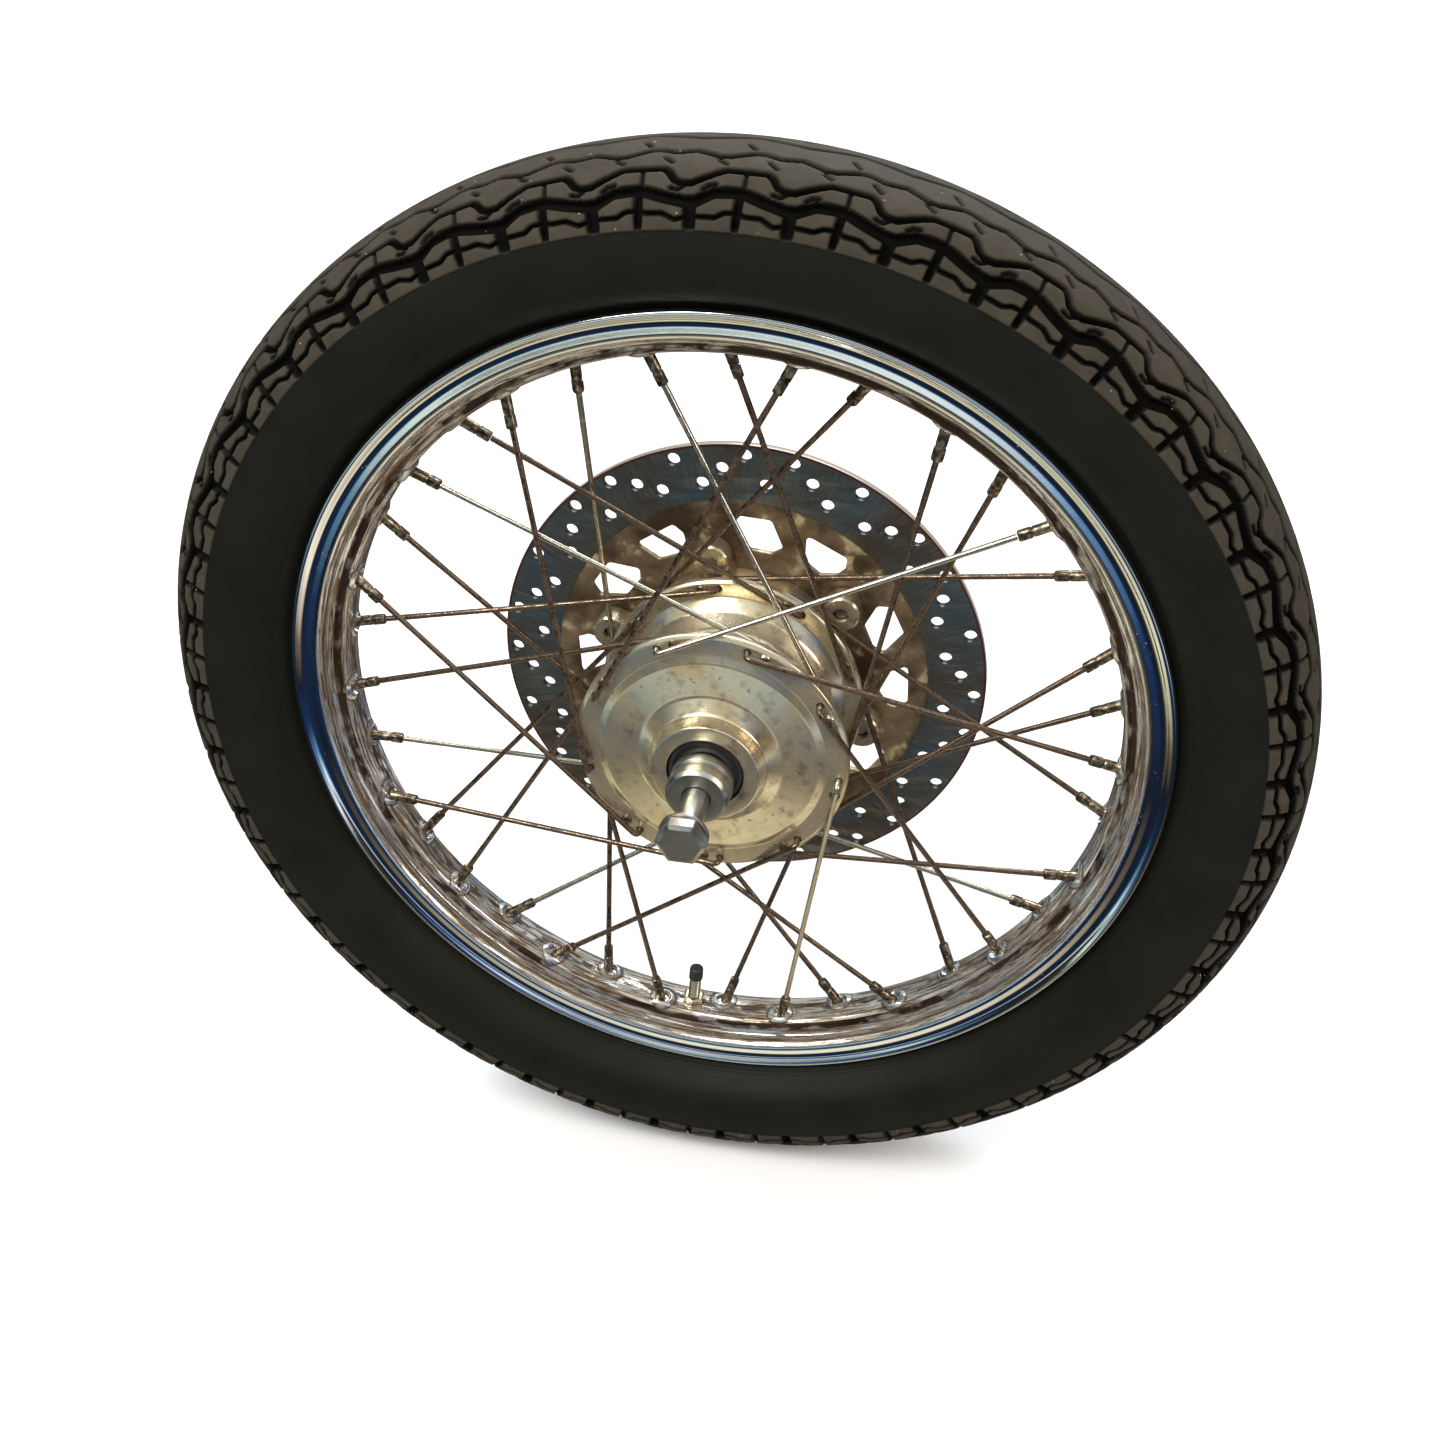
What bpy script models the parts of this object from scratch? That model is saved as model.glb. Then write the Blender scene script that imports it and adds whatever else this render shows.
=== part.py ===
"""Motorcycle front wheel: 18 inch wire-spoked rim, tubed tyre, cast hub, brake disc and axle.

Metres, +Z up. The origin is the centre of the wheel, and +Y runs along the axle towards the brake disc.
An angle round the wheel is in degrees, from +X towards +Z. A turned profile is a list of (y, radius).
"""
import math

import bmesh
import bpy
from mathutils import Vector

GAP = 0.0003                 # room between pieces that touch

# Tyre, tube and rim
TYRE_RADIUS = 0.3127
TYRE_HALF = 0.0450
RIM_RADIUS = 0.2425          # top of the rim flanges
RIM_HALF = 0.0250
SEAT_RADIUS = 0.2286         # bead seat of an 18 inch rim
SEAT_HALF = 0.0203           # half of the 1.60 inch rim width
WELL_RADIUS = 0.2187         # floor of the rim well, tyre side
RIM_WALL = 0.0020
ROUND = 40                   # flats round the tyre and rim
TUBE_ROUND = 20
VALVE_ANGLE = 265.0
VALVE_RADIUS = 0.0040
VALVE_END = 0.1880

# Spokes and nipples
SPOKES = 36
SPOKE_RADIUS = 0.00165
SPOKE_LEAD = 74.0            # degrees between a spoke's rim end and its hub end
HOLE_CIRCLE = 0.0700
FLANGE_INNER = 0.0265        # |y| of the two faces of a hub flange
FLANGE_OUTER = 0.0325
INNER_RUN = 0.0235           # |y| of the elbow of a spoke that runs inside its flange
OUTER_RUN = 0.0390           # |y| of the elbow of a spoke that runs outside its flange
BEND = 0.0035
HEAD_RADIUS = 0.0031
HEAD_THICK = 0.0016
NIPPLE_OFFSET = 0.0040       # |y| of a nipple, on its flange's side of the rim
NIPPLE_SEAT = 0.2208
NIPPLE_RADIUS = 0.0030
NIPPLE_LENGTH = 0.0225
NIPPLE_HEAD_RADIUS = 0.0040
NIPPLE_HEAD = 0.0020

# Hub
FLANGE_RADIUS = 0.0750
WAIST_RADIUS = 0.0500
HUB_NEAR_END = -0.0500
HUB_DISC_END = 0.0530
HUB_ROUND = 32
BEARING_BORE = 0.0210
CORE_BORE = 0.0180

# Brake disc, on six lugs of the hub
DISC_RADIUS = 0.1425
DISC_BORE = 0.0660
DISC_NEAR = 0.0558           # the two faces of the disc inside its track
DISC_FAR = 0.0596
TRACK_BORE = 0.1093
TRACK_NEAR = 0.0553
TRACK_FAR = 0.0600
DISC_ROUND = 48
LUGS = 6
LUG_ANGLE = 41.3
LUG_CIRCLE = 0.0780
LUG_RADIUS = 0.0105
LUG_BACK = 0.0415
BOLT_HOLE = 0.0043
BOLT_RADIUS = 0.0039
BOLT_END = 0.0445
BOLT_HEAD_RADIUS = 0.0072
BOLT_HEAD = 0.0055
WINDOW_INNER = 0.0800
WINDOW_OUTER = 0.1000
# A window's corners: degrees from its middle, and the share of the way from its inner to its outer radius
LEANING_WINDOW = ((8.5, 1.0), (-2.0, 1.0), (-8.6, 0.25), (-5.0, 0.0), (5.5, 0.0), (11.0, 0.65))
FLARED_WINDOW = ((8.8, 0.92), (-6.5, 0.96), (-8.7, 0.62), (-8.2, 0.36), (-2.9, 0.04), (5.0, 0.15))
LEANING_MIDDLE = 41.2        # degrees from a lug to the middle of each window
FLARED_MIDDLE = 18.4
HOLES = 64
HOLE_RADIUS = 0.0037
FIRST_HOLE = 117.5
HOLE_PATTERN = (0.128, 0.120, 0.136, 0.120, 0.128, 0.136, 0.120, 0.136)

# Bearings 15 x 42 x 13 mm, seals, collars and axle
AXLE_RADIUS = 0.0075
AXLE_HALF = 0.1120
BEARING_INNER = 0.0300       # |y| of the two faces of a bearing
BEARING_OUTER = 0.0430
RACE_RADIUS = 0.0105
BALL_CIRCLE = 0.0143
BALL_RADIUS = 0.0035
BALLS = 7
SMALL_ROUND = 20
SEAL_OUTER = 0.0485
COLLAR_RADIUS = 0.0125
COLLAR_FLANGE = 0.0170
COLLAR_STEP = 0.0545
COLLAR_OUTER = 0.0725        # |y| of the face that meets a fork leg
HEX_RADIUS = 0.0135
AXLE_HEAD = 0.0100
NUT_INNER = 0.1000
NUT_OUTER = 0.1105


def clear_scene():
    for item in list(bpy.data.objects):
        bpy.data.objects.remove(item, do_unlink=True)


def material(name, colour, metallic, roughness):
    made = bpy.data.materials.new(name)
    made.use_nodes = True
    shader = made.node_tree.nodes["Principled BSDF"]
    shader.inputs["Base Color"].default_value = (*colour, 1.0)
    shader.inputs["Metallic"].default_value = metallic
    shader.inputs["Roughness"].default_value = roughness
    return made


def finish(name, bm, finish_material):
    """Turn a bmesh into a named object with outward faces and smooth round sides."""
    bmesh.ops.recalc_face_normals(bm, faces=bm.faces)
    mesh = bpy.data.meshes.new(name)
    bm.to_mesh(mesh)
    bm.free()
    mesh.shade_smooth()
    mesh.set_sharp_from_angle(angle=math.radians(35))
    mesh.materials.append(finish_material)
    made = bpy.data.objects.new(name, mesh)
    bpy.context.collection.objects.link(made)
    return made


def polar(radius, degrees, y=0.0):
    angle = math.radians(degrees)
    return Vector((radius * math.cos(angle), y, radius * math.sin(angle)))


def mirrored(half):
    """Close a (y, radius) profile that runs from the middle to the middle on the +Y side."""
    return half + [(-y, radius) for y, radius in reversed(half) if y > 0]


def turned(profile, segments, closed=True):
    """bmesh of a profile turned about the axle; a point on the axle becomes one pole vertex."""
    bm = bmesh.new()
    rings = []
    for y, radius in profile:
        if radius == 0:
            rings.append([bm.verts.new((0, y, 0))] * segments)
        else:
            steps = [360 * k / segments for k in range(segments)]
            rings.append([bm.verts.new(polar(radius, step, y)) for step in steps])
    following = rings[1:] + rings[:1] if closed else rings[1:]
    for ring, above in zip(rings, following):
        for k in range(segments):
            n = (k + 1) % segments
            bm.faces.new(list(dict.fromkeys((ring[k], ring[n], above[n], above[k]))))
    return bm


def swept(path, radii, sides):
    """bmesh of a rod with closed ends along a list of points, with a radius at each point."""
    bm = bmesh.new()
    rings = []
    across = Vector((0.31, 0.17, 0.93))
    for k, (point, radius) in enumerate(zip(path, radii)):
        before = (point - path[k - 1]).normalized() if k else Vector()
        after = (path[k + 1] - point).normalized() if k + 1 < len(path) else Vector()
        along = (before + after).normalized()
        across = (across - along * across.dot(along)).normalized()
        third = along.cross(across)
        steps = [2 * math.pi * n / sides for n in range(sides)]
        places = [point + radius * (across * math.cos(a) + third * math.sin(a)) for a in steps]
        rings.append([bm.verts.new(place) for place in places])
    for ring, above in zip(rings, rings[1:]):
        for k in range(sides):
            n = (k + 1) % sides
            bm.faces.new((ring[k], ring[n], above[n], above[k]))
    bm.faces.new(rings[0])
    bm.faces.new(rings[-1])
    return bm


def rod(start, end, radius, sides):
    return swept([start, end], [radius, radius], sides)


def joined(pieces):
    """One bmesh that holds several, for a cutter with many tools."""
    whole = bmesh.new()
    for piece in pieces:
        mesh = bpy.data.meshes.new("tool")
        bmesh.ops.recalc_face_normals(piece, faces=piece.faces)
        piece.to_mesh(mesh)
        piece.free()
        whole.from_mesh(mesh)
        bpy.data.meshes.remove(mesh)
    return whole


def combine(target, name, tools, operation):
    """Cut or add a set of closed tools to an object with an exact Boolean modifier."""
    cutter = finish(name, joined(tools), target.data.materials[0])
    cutter.hide_render = True
    cutter.display_type = "WIRE"
    modifier = target.modifiers.new(name, "BOOLEAN")
    modifier.operation = operation
    modifier.solver = "EXACT"
    modifier.object = cutter


def spoke_line(index):
    """Corner of the elbow, rim-end seat, flange side and whether the spoke runs outside its flange.

    Even spokes go to the -Y flange and odd ones to the +Y flange. Spokes of one flange take turns
    to lead and to trail, and those that lead run outside the flange.
    """
    angle = 360 / SPOKES * index
    side = 1 if index % 2 else -1
    outside = index % 4 in (0, 3)
    hub_angle = angle + (SPOKE_LEAD if outside else -SPOKE_LEAD)
    corner = polar(HOLE_CIRCLE, hub_angle, side * (OUTER_RUN if outside else INNER_RUN))
    seat = polar(NIPPLE_SEAT, angle, side * NIPPLE_OFFSET)
    return corner, seat, side, outside


def spoke(index, steel):
    """A spoke with its head, elbow and nipple, through its flange hole and its rim hole."""
    corner, seat, side, outside = spoke_line(index)
    shank = Vector((0, side if outside else -side, 0))
    face = FLANGE_INNER - GAP if outside else FLANGE_OUTER + GAP
    under_head = Vector((corner.x, side * face, corner.z))
    along = (seat - corner).normalized()
    bend_in = corner - shank * BEND
    bend_out = corner + along * BEND
    middle = (bend_in + bend_out + 2 * corner) / 4
    step = GAP / 2
    nipple_end = seat - along * NIPPLE_LENGTH
    stations = [
        (under_head - shank * HEAD_THICK, HEAD_RADIUS),
        (under_head, HEAD_RADIUS),
        (under_head + shank * step, SPOKE_RADIUS),
        (bend_in, SPOKE_RADIUS),
        (middle, SPOKE_RADIUS),
        (bend_out, SPOKE_RADIUS),
        (nipple_end, SPOKE_RADIUS),
        (nipple_end + along * step, NIPPLE_RADIUS),
        (seat, NIPPLE_RADIUS),
        (seat + along * step, NIPPLE_HEAD_RADIUS),
        (seat + along * NIPPLE_HEAD, NIPPLE_HEAD_RADIUS),
    ]
    path = [point for point, _ in stations]
    radii = [radius for _, radius in stations]
    return finish(f"spoke_{index + 1:02d}", swept(path, radii, 6), steel)


def tyre(rubber):
    bead_out = SEAT_HALF - 0.0004
    outside = [
        (bead_out - 0.0066, SEAT_RADIUS + 0.0006),
        (bead_out, SEAT_RADIUS + 0.0006),
        (bead_out, RIM_RADIUS + 0.0010),
        (RIM_HALF + 0.0015, RIM_RADIUS + 0.0045),
        (TYRE_HALF - 0.0065, 0.2570),
        (TYRE_HALF, 0.2730),
        (0.0440, 0.2880),
        (0.0345, 0.3025),
        (0.0200, 0.3098),
        (0.0000, TYRE_RADIUS),
    ]
    inside = [
        (0.0000, 0.2990),
        (0.0200, 0.2960),
        (0.0320, 0.2875),
        (0.0370, 0.2760),
        (0.0310, 0.2610),
        (0.0150, 0.2460),
    ]
    right = [(y, radius) for y, radius in reversed(outside)]
    left_inside = [(-y, radius) for y, radius in inside[1:]]
    left_outside = [(-y, radius) for y, radius in outside[:-1]]
    profile = right + list(reversed(inside)) + left_inside + left_outside
    return finish("tyre", turned(profile, ROUND), rubber)


def inner_tube(rubber):
    """A hollow ring inside the tyre, whose valve bore is the opening to its air space."""
    skin = [(0.0, 0.2980), (0.0182, 0.2950), (0.0296, 0.2868), (0.0345, 0.2758),
            (0.0262, 0.2616), (0.0105, 0.2464), (0.0070, 0.2340), (0.0, 0.2305)]
    air = [(0.0, 0.2950), (0.0170, 0.2924), (0.0274, 0.2851), (0.0318, 0.2755),
           (0.0238, 0.2628), (0.0075, 0.2464), (0.0, 0.2335)]
    tube = finish("inner_tube", turned(mirrored(skin), TUBE_ROUND), rubber)
    stem = rod(polar(0.2318, VALVE_ANGLE), polar(VALVE_END, VALVE_ANGLE), VALVE_RADIUS, 10)
    combine(tube, "valve_stem_tool", [stem], "UNION")
    bore = rod(polar(0.2400, VALVE_ANGLE), polar(VALVE_END - 0.001, VALVE_ANGLE), 0.0015, 6)
    combine(tube, "air_space_tool", [turned(mirrored(air), TUBE_ROUND)], "DIFFERENCE")
    combine(tube, "valve_bore_tool", [bore], "DIFFERENCE")
    return tube


def rim(chrome):
    """Drop-centre rim, with a hole along each spoke and one for the valve."""
    under = WELL_RADIUS - RIM_WALL
    tyre_side = [
        (0.0090, WELL_RADIUS),
        (0.0128, SEAT_RADIUS - 0.0006),
        (SEAT_HALF, SEAT_RADIUS),
        (SEAT_HALF, RIM_RADIUS - 0.0015),
        (SEAT_HALF + 0.0020, RIM_RADIUS),
        (RIM_HALF, RIM_RADIUS - 0.0008),
        (RIM_HALF, RIM_RADIUS - 0.0025),
    ]
    hub_side = [
        (SEAT_HALF + RIM_WALL, RIM_RADIUS - 0.0030),
        (SEAT_HALF + RIM_WALL, SEAT_RADIUS + 0.0006),
        (SEAT_HALF - 0.0003, SEAT_RADIUS - RIM_WALL - 0.0006),
        (0.0142, SEAT_RADIUS - RIM_WALL - 0.0010),
        (0.0104, under),
    ]
    half = tyre_side + hub_side
    left = [(-y, radius) for y, radius in reversed(half)]
    made = finish("rim", turned(half + left, ROUND), chrome)
    drills = []
    for index in range(SPOKES):
        corner, seat, _, _ = spoke_line(index)
        along = (seat - corner).normalized()
        drills.append(rod(seat - along * 0.010, seat - along * GAP, NIPPLE_RADIUS + 0.0007, 6))
    combine(made, "nipple_hole_tools", drills, "DIFFERENCE")
    valve = rod(polar(0.2240, VALVE_ANGLE), polar(0.2120, VALVE_ANGLE), VALVE_RADIUS + 0.0007, 10)
    combine(made, "valve_hole_tool", [valve], "DIFFERENCE")
    return made


def hub(aluminium):
    """Waisted hub with two drilled spoke flanges, bearing seats and a six-lug disc mount."""
    lug_face = DISC_NEAR - GAP
    profile = [
        (HUB_NEAR_END, 0.0300),
        (-0.0420, 0.0320),
        (-0.0360, 0.0400),
        (-0.0345, 0.0590),
        (-FLANGE_OUTER, 0.0630),
        (-FLANGE_OUTER, FLANGE_RADIUS - 0.0025),
        (-0.0290, FLANGE_RADIUS),
        (-FLANGE_INNER, FLANGE_RADIUS - 0.0015),
        (-FLANGE_INNER, 0.0650),
        (-0.0220, 0.0590),
        (-0.0120, 0.0525),
        (0.0000, WAIST_RADIUS),
        (0.0120, 0.0525),
        (0.0220, 0.0590),
        (FLANGE_INNER, 0.0650),
        (FLANGE_INNER, FLANGE_RADIUS - 0.0015),
        (0.0290, FLANGE_RADIUS),
        (FLANGE_OUTER, FLANGE_RADIUS - 0.0025),
        (FLANGE_OUTER, 0.0630),
        (LUG_BACK, 0.0630),
        (LUG_BACK, 0.0680),
        (lug_face, 0.0680),
        (lug_face, 0.0590),
        (0.0480, 0.0540),
        (0.0470, 0.0360),
        (HUB_DISC_END, 0.0300),
        (HUB_DISC_END, BEARING_BORE),
        (BEARING_INNER - GAP, BEARING_BORE),
        (BEARING_INNER - GAP, CORE_BORE),
        (-BEARING_INNER + GAP, CORE_BORE),
        (-BEARING_INNER + GAP, BEARING_BORE),
        (HUB_NEAR_END, BEARING_BORE),
    ]
    made = finish("hub", turned(profile, HUB_ROUND), aluminium)
    lugs = []
    drills = []
    for k in range(LUGS):
        angle = LUG_ANGLE + 360 / LUGS * k
        lugs.append(rod(polar(LUG_CIRCLE, angle, LUG_BACK), polar(LUG_CIRCLE, angle, lug_face), LUG_RADIUS, 12))
        drills.append(rod(polar(LUG_CIRCLE, angle, 0.03), polar(LUG_CIRCLE, angle, 0.07), BOLT_HOLE, 8))
    combine(made, "lug_tools", lugs, "UNION")
    combine(made, "bolt_hole_tools", drills, "DIFFERENCE")
    flange_drills = []
    for index in range(SPOKES):
        corner, _, side, _ = spoke_line(index)
        inner = Vector((corner.x, side * (FLANGE_INNER - 0.002), corner.z))
        outer = Vector((corner.x, side * (FLANGE_OUTER + 0.002), corner.z))
        flange_drills.append(rod(inner, outer, SPOKE_RADIUS + 0.0006, 6))
    combine(made, "flange_hole_tools", flange_drills, "DIFFERENCE")
    return made


def window(corners, middle):
    """Window between two arms of the disc, as a prism through its thickness."""
    bm = bmesh.new()
    rings = []
    for y in (DISC_NEAR - 0.004, DISC_FAR + 0.004):
        ring = []
        for turn, share in corners:
            radius = WINDOW_INNER + share * (WINDOW_OUTER - WINDOW_INNER)
            ring.append(bm.verts.new(polar(radius, middle + turn, y)))
        rings.append(ring)
    for k, _ in enumerate(corners):
        n = (k + 1) % len(corners)
        bm.faces.new((rings[0][k], rings[0][n], rings[1][n], rings[1][k]))
    bm.faces.new(rings[0])
    bm.faces.new(rings[1])
    return bm


def brake_disc(steel):
    """Drilled track with twelve windows inside it, in pairs between the six bolt arms."""
    profile = [
        (DISC_NEAR, DISC_BORE),
        (DISC_FAR, DISC_BORE),
        (DISC_FAR, TRACK_BORE - GAP),
        (TRACK_FAR, TRACK_BORE),
        (TRACK_FAR, DISC_RADIUS),
        (TRACK_NEAR, DISC_RADIUS),
        (TRACK_NEAR, TRACK_BORE),
        (DISC_NEAR, TRACK_BORE - GAP),
    ]
    made = finish("brake_disc", turned(profile, DISC_ROUND), steel)
    pitch = 360 / LUGS
    windows = []
    bolts = []
    for k in range(LUGS):
        arm = LUG_ANGLE + pitch * k
        windows.append(window(LEANING_WINDOW, arm + LEANING_MIDDLE))
        windows.append(window(FLARED_WINDOW, arm + FLARED_MIDDLE))
        bolts.append(rod(polar(LUG_CIRCLE, arm, 0.05), polar(LUG_CIRCLE, arm, 0.07), BOLT_HOLE, 8))
    combine(made, "window_tools", windows, "DIFFERENCE")
    combine(made, "disc_bolt_hole_tools", bolts, "DIFFERENCE")
    holes = []
    for k in range(HOLES):
        angle = FIRST_HOLE - 360 / HOLES * k
        radius = HOLE_PATTERN[k % len(HOLE_PATTERN)]
        holes.append(rod(polar(radius, angle, 0.05), polar(radius, angle, 0.07), HOLE_RADIUS, 6))
    combine(made, "track_hole_tools", holes, "DIFFERENCE")
    return made


def disc_bolt(number, steel):
    angle = LUG_ANGLE + 360 / LUGS * number
    seat = DISC_FAR + GAP
    stations = [
        (BOLT_END, BOLT_RADIUS),
        (seat, BOLT_RADIUS),
        (seat + GAP / 2, BOLT_HEAD_RADIUS),
        (seat + BOLT_HEAD, BOLT_HEAD_RADIUS),
    ]
    path = [polar(LUG_CIRCLE, angle, y) for y, _ in stations]
    return finish(f"disc_bolt_{number + 1}", swept(path, [radius for _, radius in stations], 6), steel)


def band(name, side, inner, outer, low, high, finish_material):
    """A plain ring about the axle from radius inner to outer and |y| low to high, on one side."""
    profile = [(side * low, inner), (side * high, inner), (side * high, outer), (side * low, outer)]
    return finish(name, turned(profile, SMALL_ROUND), finish_material)


def ball_cage(name, side, brass):
    """The balls of a bearing, held in one ring."""
    centre = side * (BEARING_INNER + BEARING_OUTER) / 2
    half = 0.0014
    profile = [(centre - half, BALL_CIRCLE - 0.001), (centre + half, BALL_CIRCLE - 0.001),
               (centre + half, BALL_CIRCLE + 0.001), (centre - half, BALL_CIRCLE + 0.001)]
    made = finish(name, turned(profile, 2 * BALLS), brass)
    balls = []
    for k in range(BALLS):
        ball = bmesh.new()
        bmesh.ops.create_uvsphere(ball, u_segments=6, v_segments=4, radius=BALL_RADIUS)
        bmesh.ops.translate(ball, verts=ball.verts, vec=polar(BALL_CIRCLE, 360 / BALLS * k, centre))
        balls.append(ball)
    combine(made, name + "_ball_tools", balls, "UNION")
    return made


def collar(name, side, steel):
    bore = AXLE_RADIUS + GAP
    profile = [
        (side * (BEARING_OUTER + GAP), bore),
        (side * COLLAR_OUTER, bore),
        (side * COLLAR_OUTER, COLLAR_FLANGE),
        (side * COLLAR_STEP, COLLAR_FLANGE),
        (side * COLLAR_STEP, COLLAR_RADIUS),
        (side * (BEARING_OUTER + GAP), COLLAR_RADIUS),
    ]
    return finish(name, turned(profile, SMALL_ROUND), steel)


def axle(steel):
    """Plain spindle with a six-sided head at the -Y end."""
    head_inner = -AXLE_HALF + AXLE_HEAD
    shaft = [(head_inner - 0.002, 0.0), (head_inner - 0.002, AXLE_RADIUS), (AXLE_HALF - 0.001, AXLE_RADIUS),
             (AXLE_HALF, AXLE_RADIUS - 0.001), (AXLE_HALF, 0.0)]
    made = finish("axle", turned(shaft, SMALL_ROUND, closed=False), steel)
    head = turned([(-AXLE_HALF, 0.0), (-AXLE_HALF, HEX_RADIUS), (head_inner, HEX_RADIUS), (head_inner, 0.0)],
                  6, closed=False)
    combine(made, "axle_head_tool", [head], "UNION")
    return made


def axle_nut(steel):
    made = finish("axle_nut", rod(Vector((0, NUT_INNER, 0)), Vector((0, NUT_OUTER, 0)), HEX_RADIUS, 6), steel)
    bore = rod(Vector((0, NUT_INNER - 0.01, 0)), Vector((0, NUT_OUTER + 0.01, 0)), AXLE_RADIUS + 0.0006, SMALL_ROUND)
    combine(made, "nut_bore_tool", [bore], "DIFFERENCE")
    return made


def axle_parts(finishes):
    bore = AXLE_RADIUS + GAP
    axle(finishes["steel"])
    axle_nut(finishes["steel"])
    spacer = BEARING_INNER - GAP
    band("bearing_spacer", 1, bore, RACE_RADIUS, -spacer, spacer, finishes["steel"])
    for word, side in (("left", 1), ("right", -1)):
        band(f"bearing_inner_{word}", side, bore, RACE_RADIUS, BEARING_INNER, BEARING_OUTER, finishes["race"])
        collar(f"collar_{word}", side, finishes["steel"])


def turning_parts(finishes):
    tyre(finishes["rubber"])
    inner_tube(finishes["tube"])
    rim(finishes["chrome"])
    hub(finishes["aluminium"])
    brake_disc(finishes["disc"])
    for index in range(SPOKES):
        spoke(index, finishes["spoke"])
    for number in range(LUGS):
        disc_bolt(number, finishes["steel"])
    race_out = BALL_CIRCLE + BALL_RADIUS + GAP
    ring_out = BEARING_BORE - GAP
    for word, side in (("left", 1), ("right", -1)):
        band(f"bearing_outer_{word}", side, race_out, ring_out, BEARING_INNER, BEARING_OUTER, finishes["race"])
        seal_in = COLLAR_RADIUS + GAP
        band(f"dust_seal_{word}", side, seal_in, ring_out, BEARING_OUTER + GAP, SEAL_OUTER, finishes["seal"])
        ball_cage(f"ball_cage_{word}", side, finishes["brass"])


def main():
    clear_scene()
    finishes = {
        "rubber": material("tyre_rubber", (0.020, 0.021, 0.020), 0.0, 0.62),
        "tube": material("tube_rubber", (0.015, 0.015, 0.015), 0.0, 0.50),
        "seal": material("seal_rubber", (0.012, 0.012, 0.012), 0.0, 0.45),
        "chrome": material("rim_chrome", (0.80, 0.80, 0.82), 1.0, 0.08),
        "aluminium": material("hub_aluminium", (0.62, 0.58, 0.50), 1.0, 0.28),
        "disc": material("disc_steel", (0.30, 0.29, 0.28), 1.0, 0.35),
        "spoke": material("spoke_steel", (0.22, 0.17, 0.13), 1.0, 0.42),
        "steel": material("zinc_steel", (0.48, 0.47, 0.44), 1.0, 0.32),
        "race": material("bearing_steel", (0.55, 0.55, 0.56), 1.0, 0.15),
        "brass": material("cage_brass", (0.60, 0.45, 0.20), 1.0, 0.30),
    }
    axle_parts(finishes)
    turning_parts(finishes)


main()
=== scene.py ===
"""Looks of the wire-spoked motorcycle front wheel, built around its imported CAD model.

Metres, +Z up. The wheel's centre is the origin and +Y runs along the axle towards the brake disc.
An angle round the wheel is in degrees, from +X towards +Z. A turned outline is a list of
(y, radius, rounding). Each piece is made in place, so its object stays at the origin.
"""
import math

import bmesh
import bpy
import numpy as np
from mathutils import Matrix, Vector


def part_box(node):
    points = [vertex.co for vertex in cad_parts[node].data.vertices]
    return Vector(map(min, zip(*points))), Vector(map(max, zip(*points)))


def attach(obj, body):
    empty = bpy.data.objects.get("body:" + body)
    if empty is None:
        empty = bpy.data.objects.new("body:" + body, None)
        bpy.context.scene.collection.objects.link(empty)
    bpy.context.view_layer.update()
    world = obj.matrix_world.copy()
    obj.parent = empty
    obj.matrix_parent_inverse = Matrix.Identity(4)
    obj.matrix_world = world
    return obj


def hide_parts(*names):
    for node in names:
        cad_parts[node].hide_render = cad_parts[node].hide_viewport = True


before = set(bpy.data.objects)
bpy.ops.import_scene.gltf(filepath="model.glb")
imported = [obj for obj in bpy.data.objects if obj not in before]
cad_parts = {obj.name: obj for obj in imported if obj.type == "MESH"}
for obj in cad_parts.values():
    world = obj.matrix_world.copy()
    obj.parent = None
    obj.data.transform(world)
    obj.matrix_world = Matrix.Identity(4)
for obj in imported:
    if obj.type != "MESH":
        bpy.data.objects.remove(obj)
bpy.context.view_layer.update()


def top_radius(node):
    """Outer radius of a turned CAD node, which has a corner on the X axis."""
    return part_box(node)[1].x


# Tyre and rim
TYRE_RADIUS = top_radius("tyre")
TYRE_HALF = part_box("tyre")[1].y
RIM_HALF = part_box("rim")[1].y
SEAT_RADIUS = 0.2286             # bead seat of an 18 inch rim
TREAD_UNITS = 42                 # repeats of the tread pattern round the tyre
TREAD_STEPS = 50                 # mesh columns in one repeat
TREAD_EDGE = 57.5                # mm along the tread from its middle to the edge of the blocks
TREAD_START = 61.3               # degrees round the wheel at which the first repeat starts
GROOVE_WALL = 1.5                # mm that a groove's wall covers as it slopes down
CUT_FADE = 4.5                   # mm over which a cut fades out at the edge of the blocks
RIM_STEPS = 1440                 # mesh columns round the rim
VALVE_ANGLE = 265.0
VALVE_START = 0.2290             # radius of the stem's end inside the tyre
VALVE_END = 0.1880

# Spokes and nipples
SPOKES = 36
SPOKE_RADIUS = 0.00165
SPOKE_LEAD = 74.0                # degrees between a spoke's rim end and its hub end
HOLE_CIRCLE = 0.0700
FLANGE_INNER = 0.0265            # |y| of the two faces of a hub flange
FLANGE_OUTER = 0.0325
INNER_RUN = 0.0235               # |y| of the elbow of a spoke inside its flange
OUTER_RUN = 0.0390               # |y| of the elbow of a spoke outside its flange
NIPPLE_OFFSET = 0.0040           # |y| of a nipple, on its flange's side of the rim
NIPPLE_SEAT = 0.2208             # radius of the underside of a nipple's head
NIPPLE_LENGTH = 0.0225
NIPPLE_RADIUS = 0.0029
BRIGHT_SPOKES = (4, 10, 11, 14, 19, 23, 28, 33)    # the ones with little rust

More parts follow.
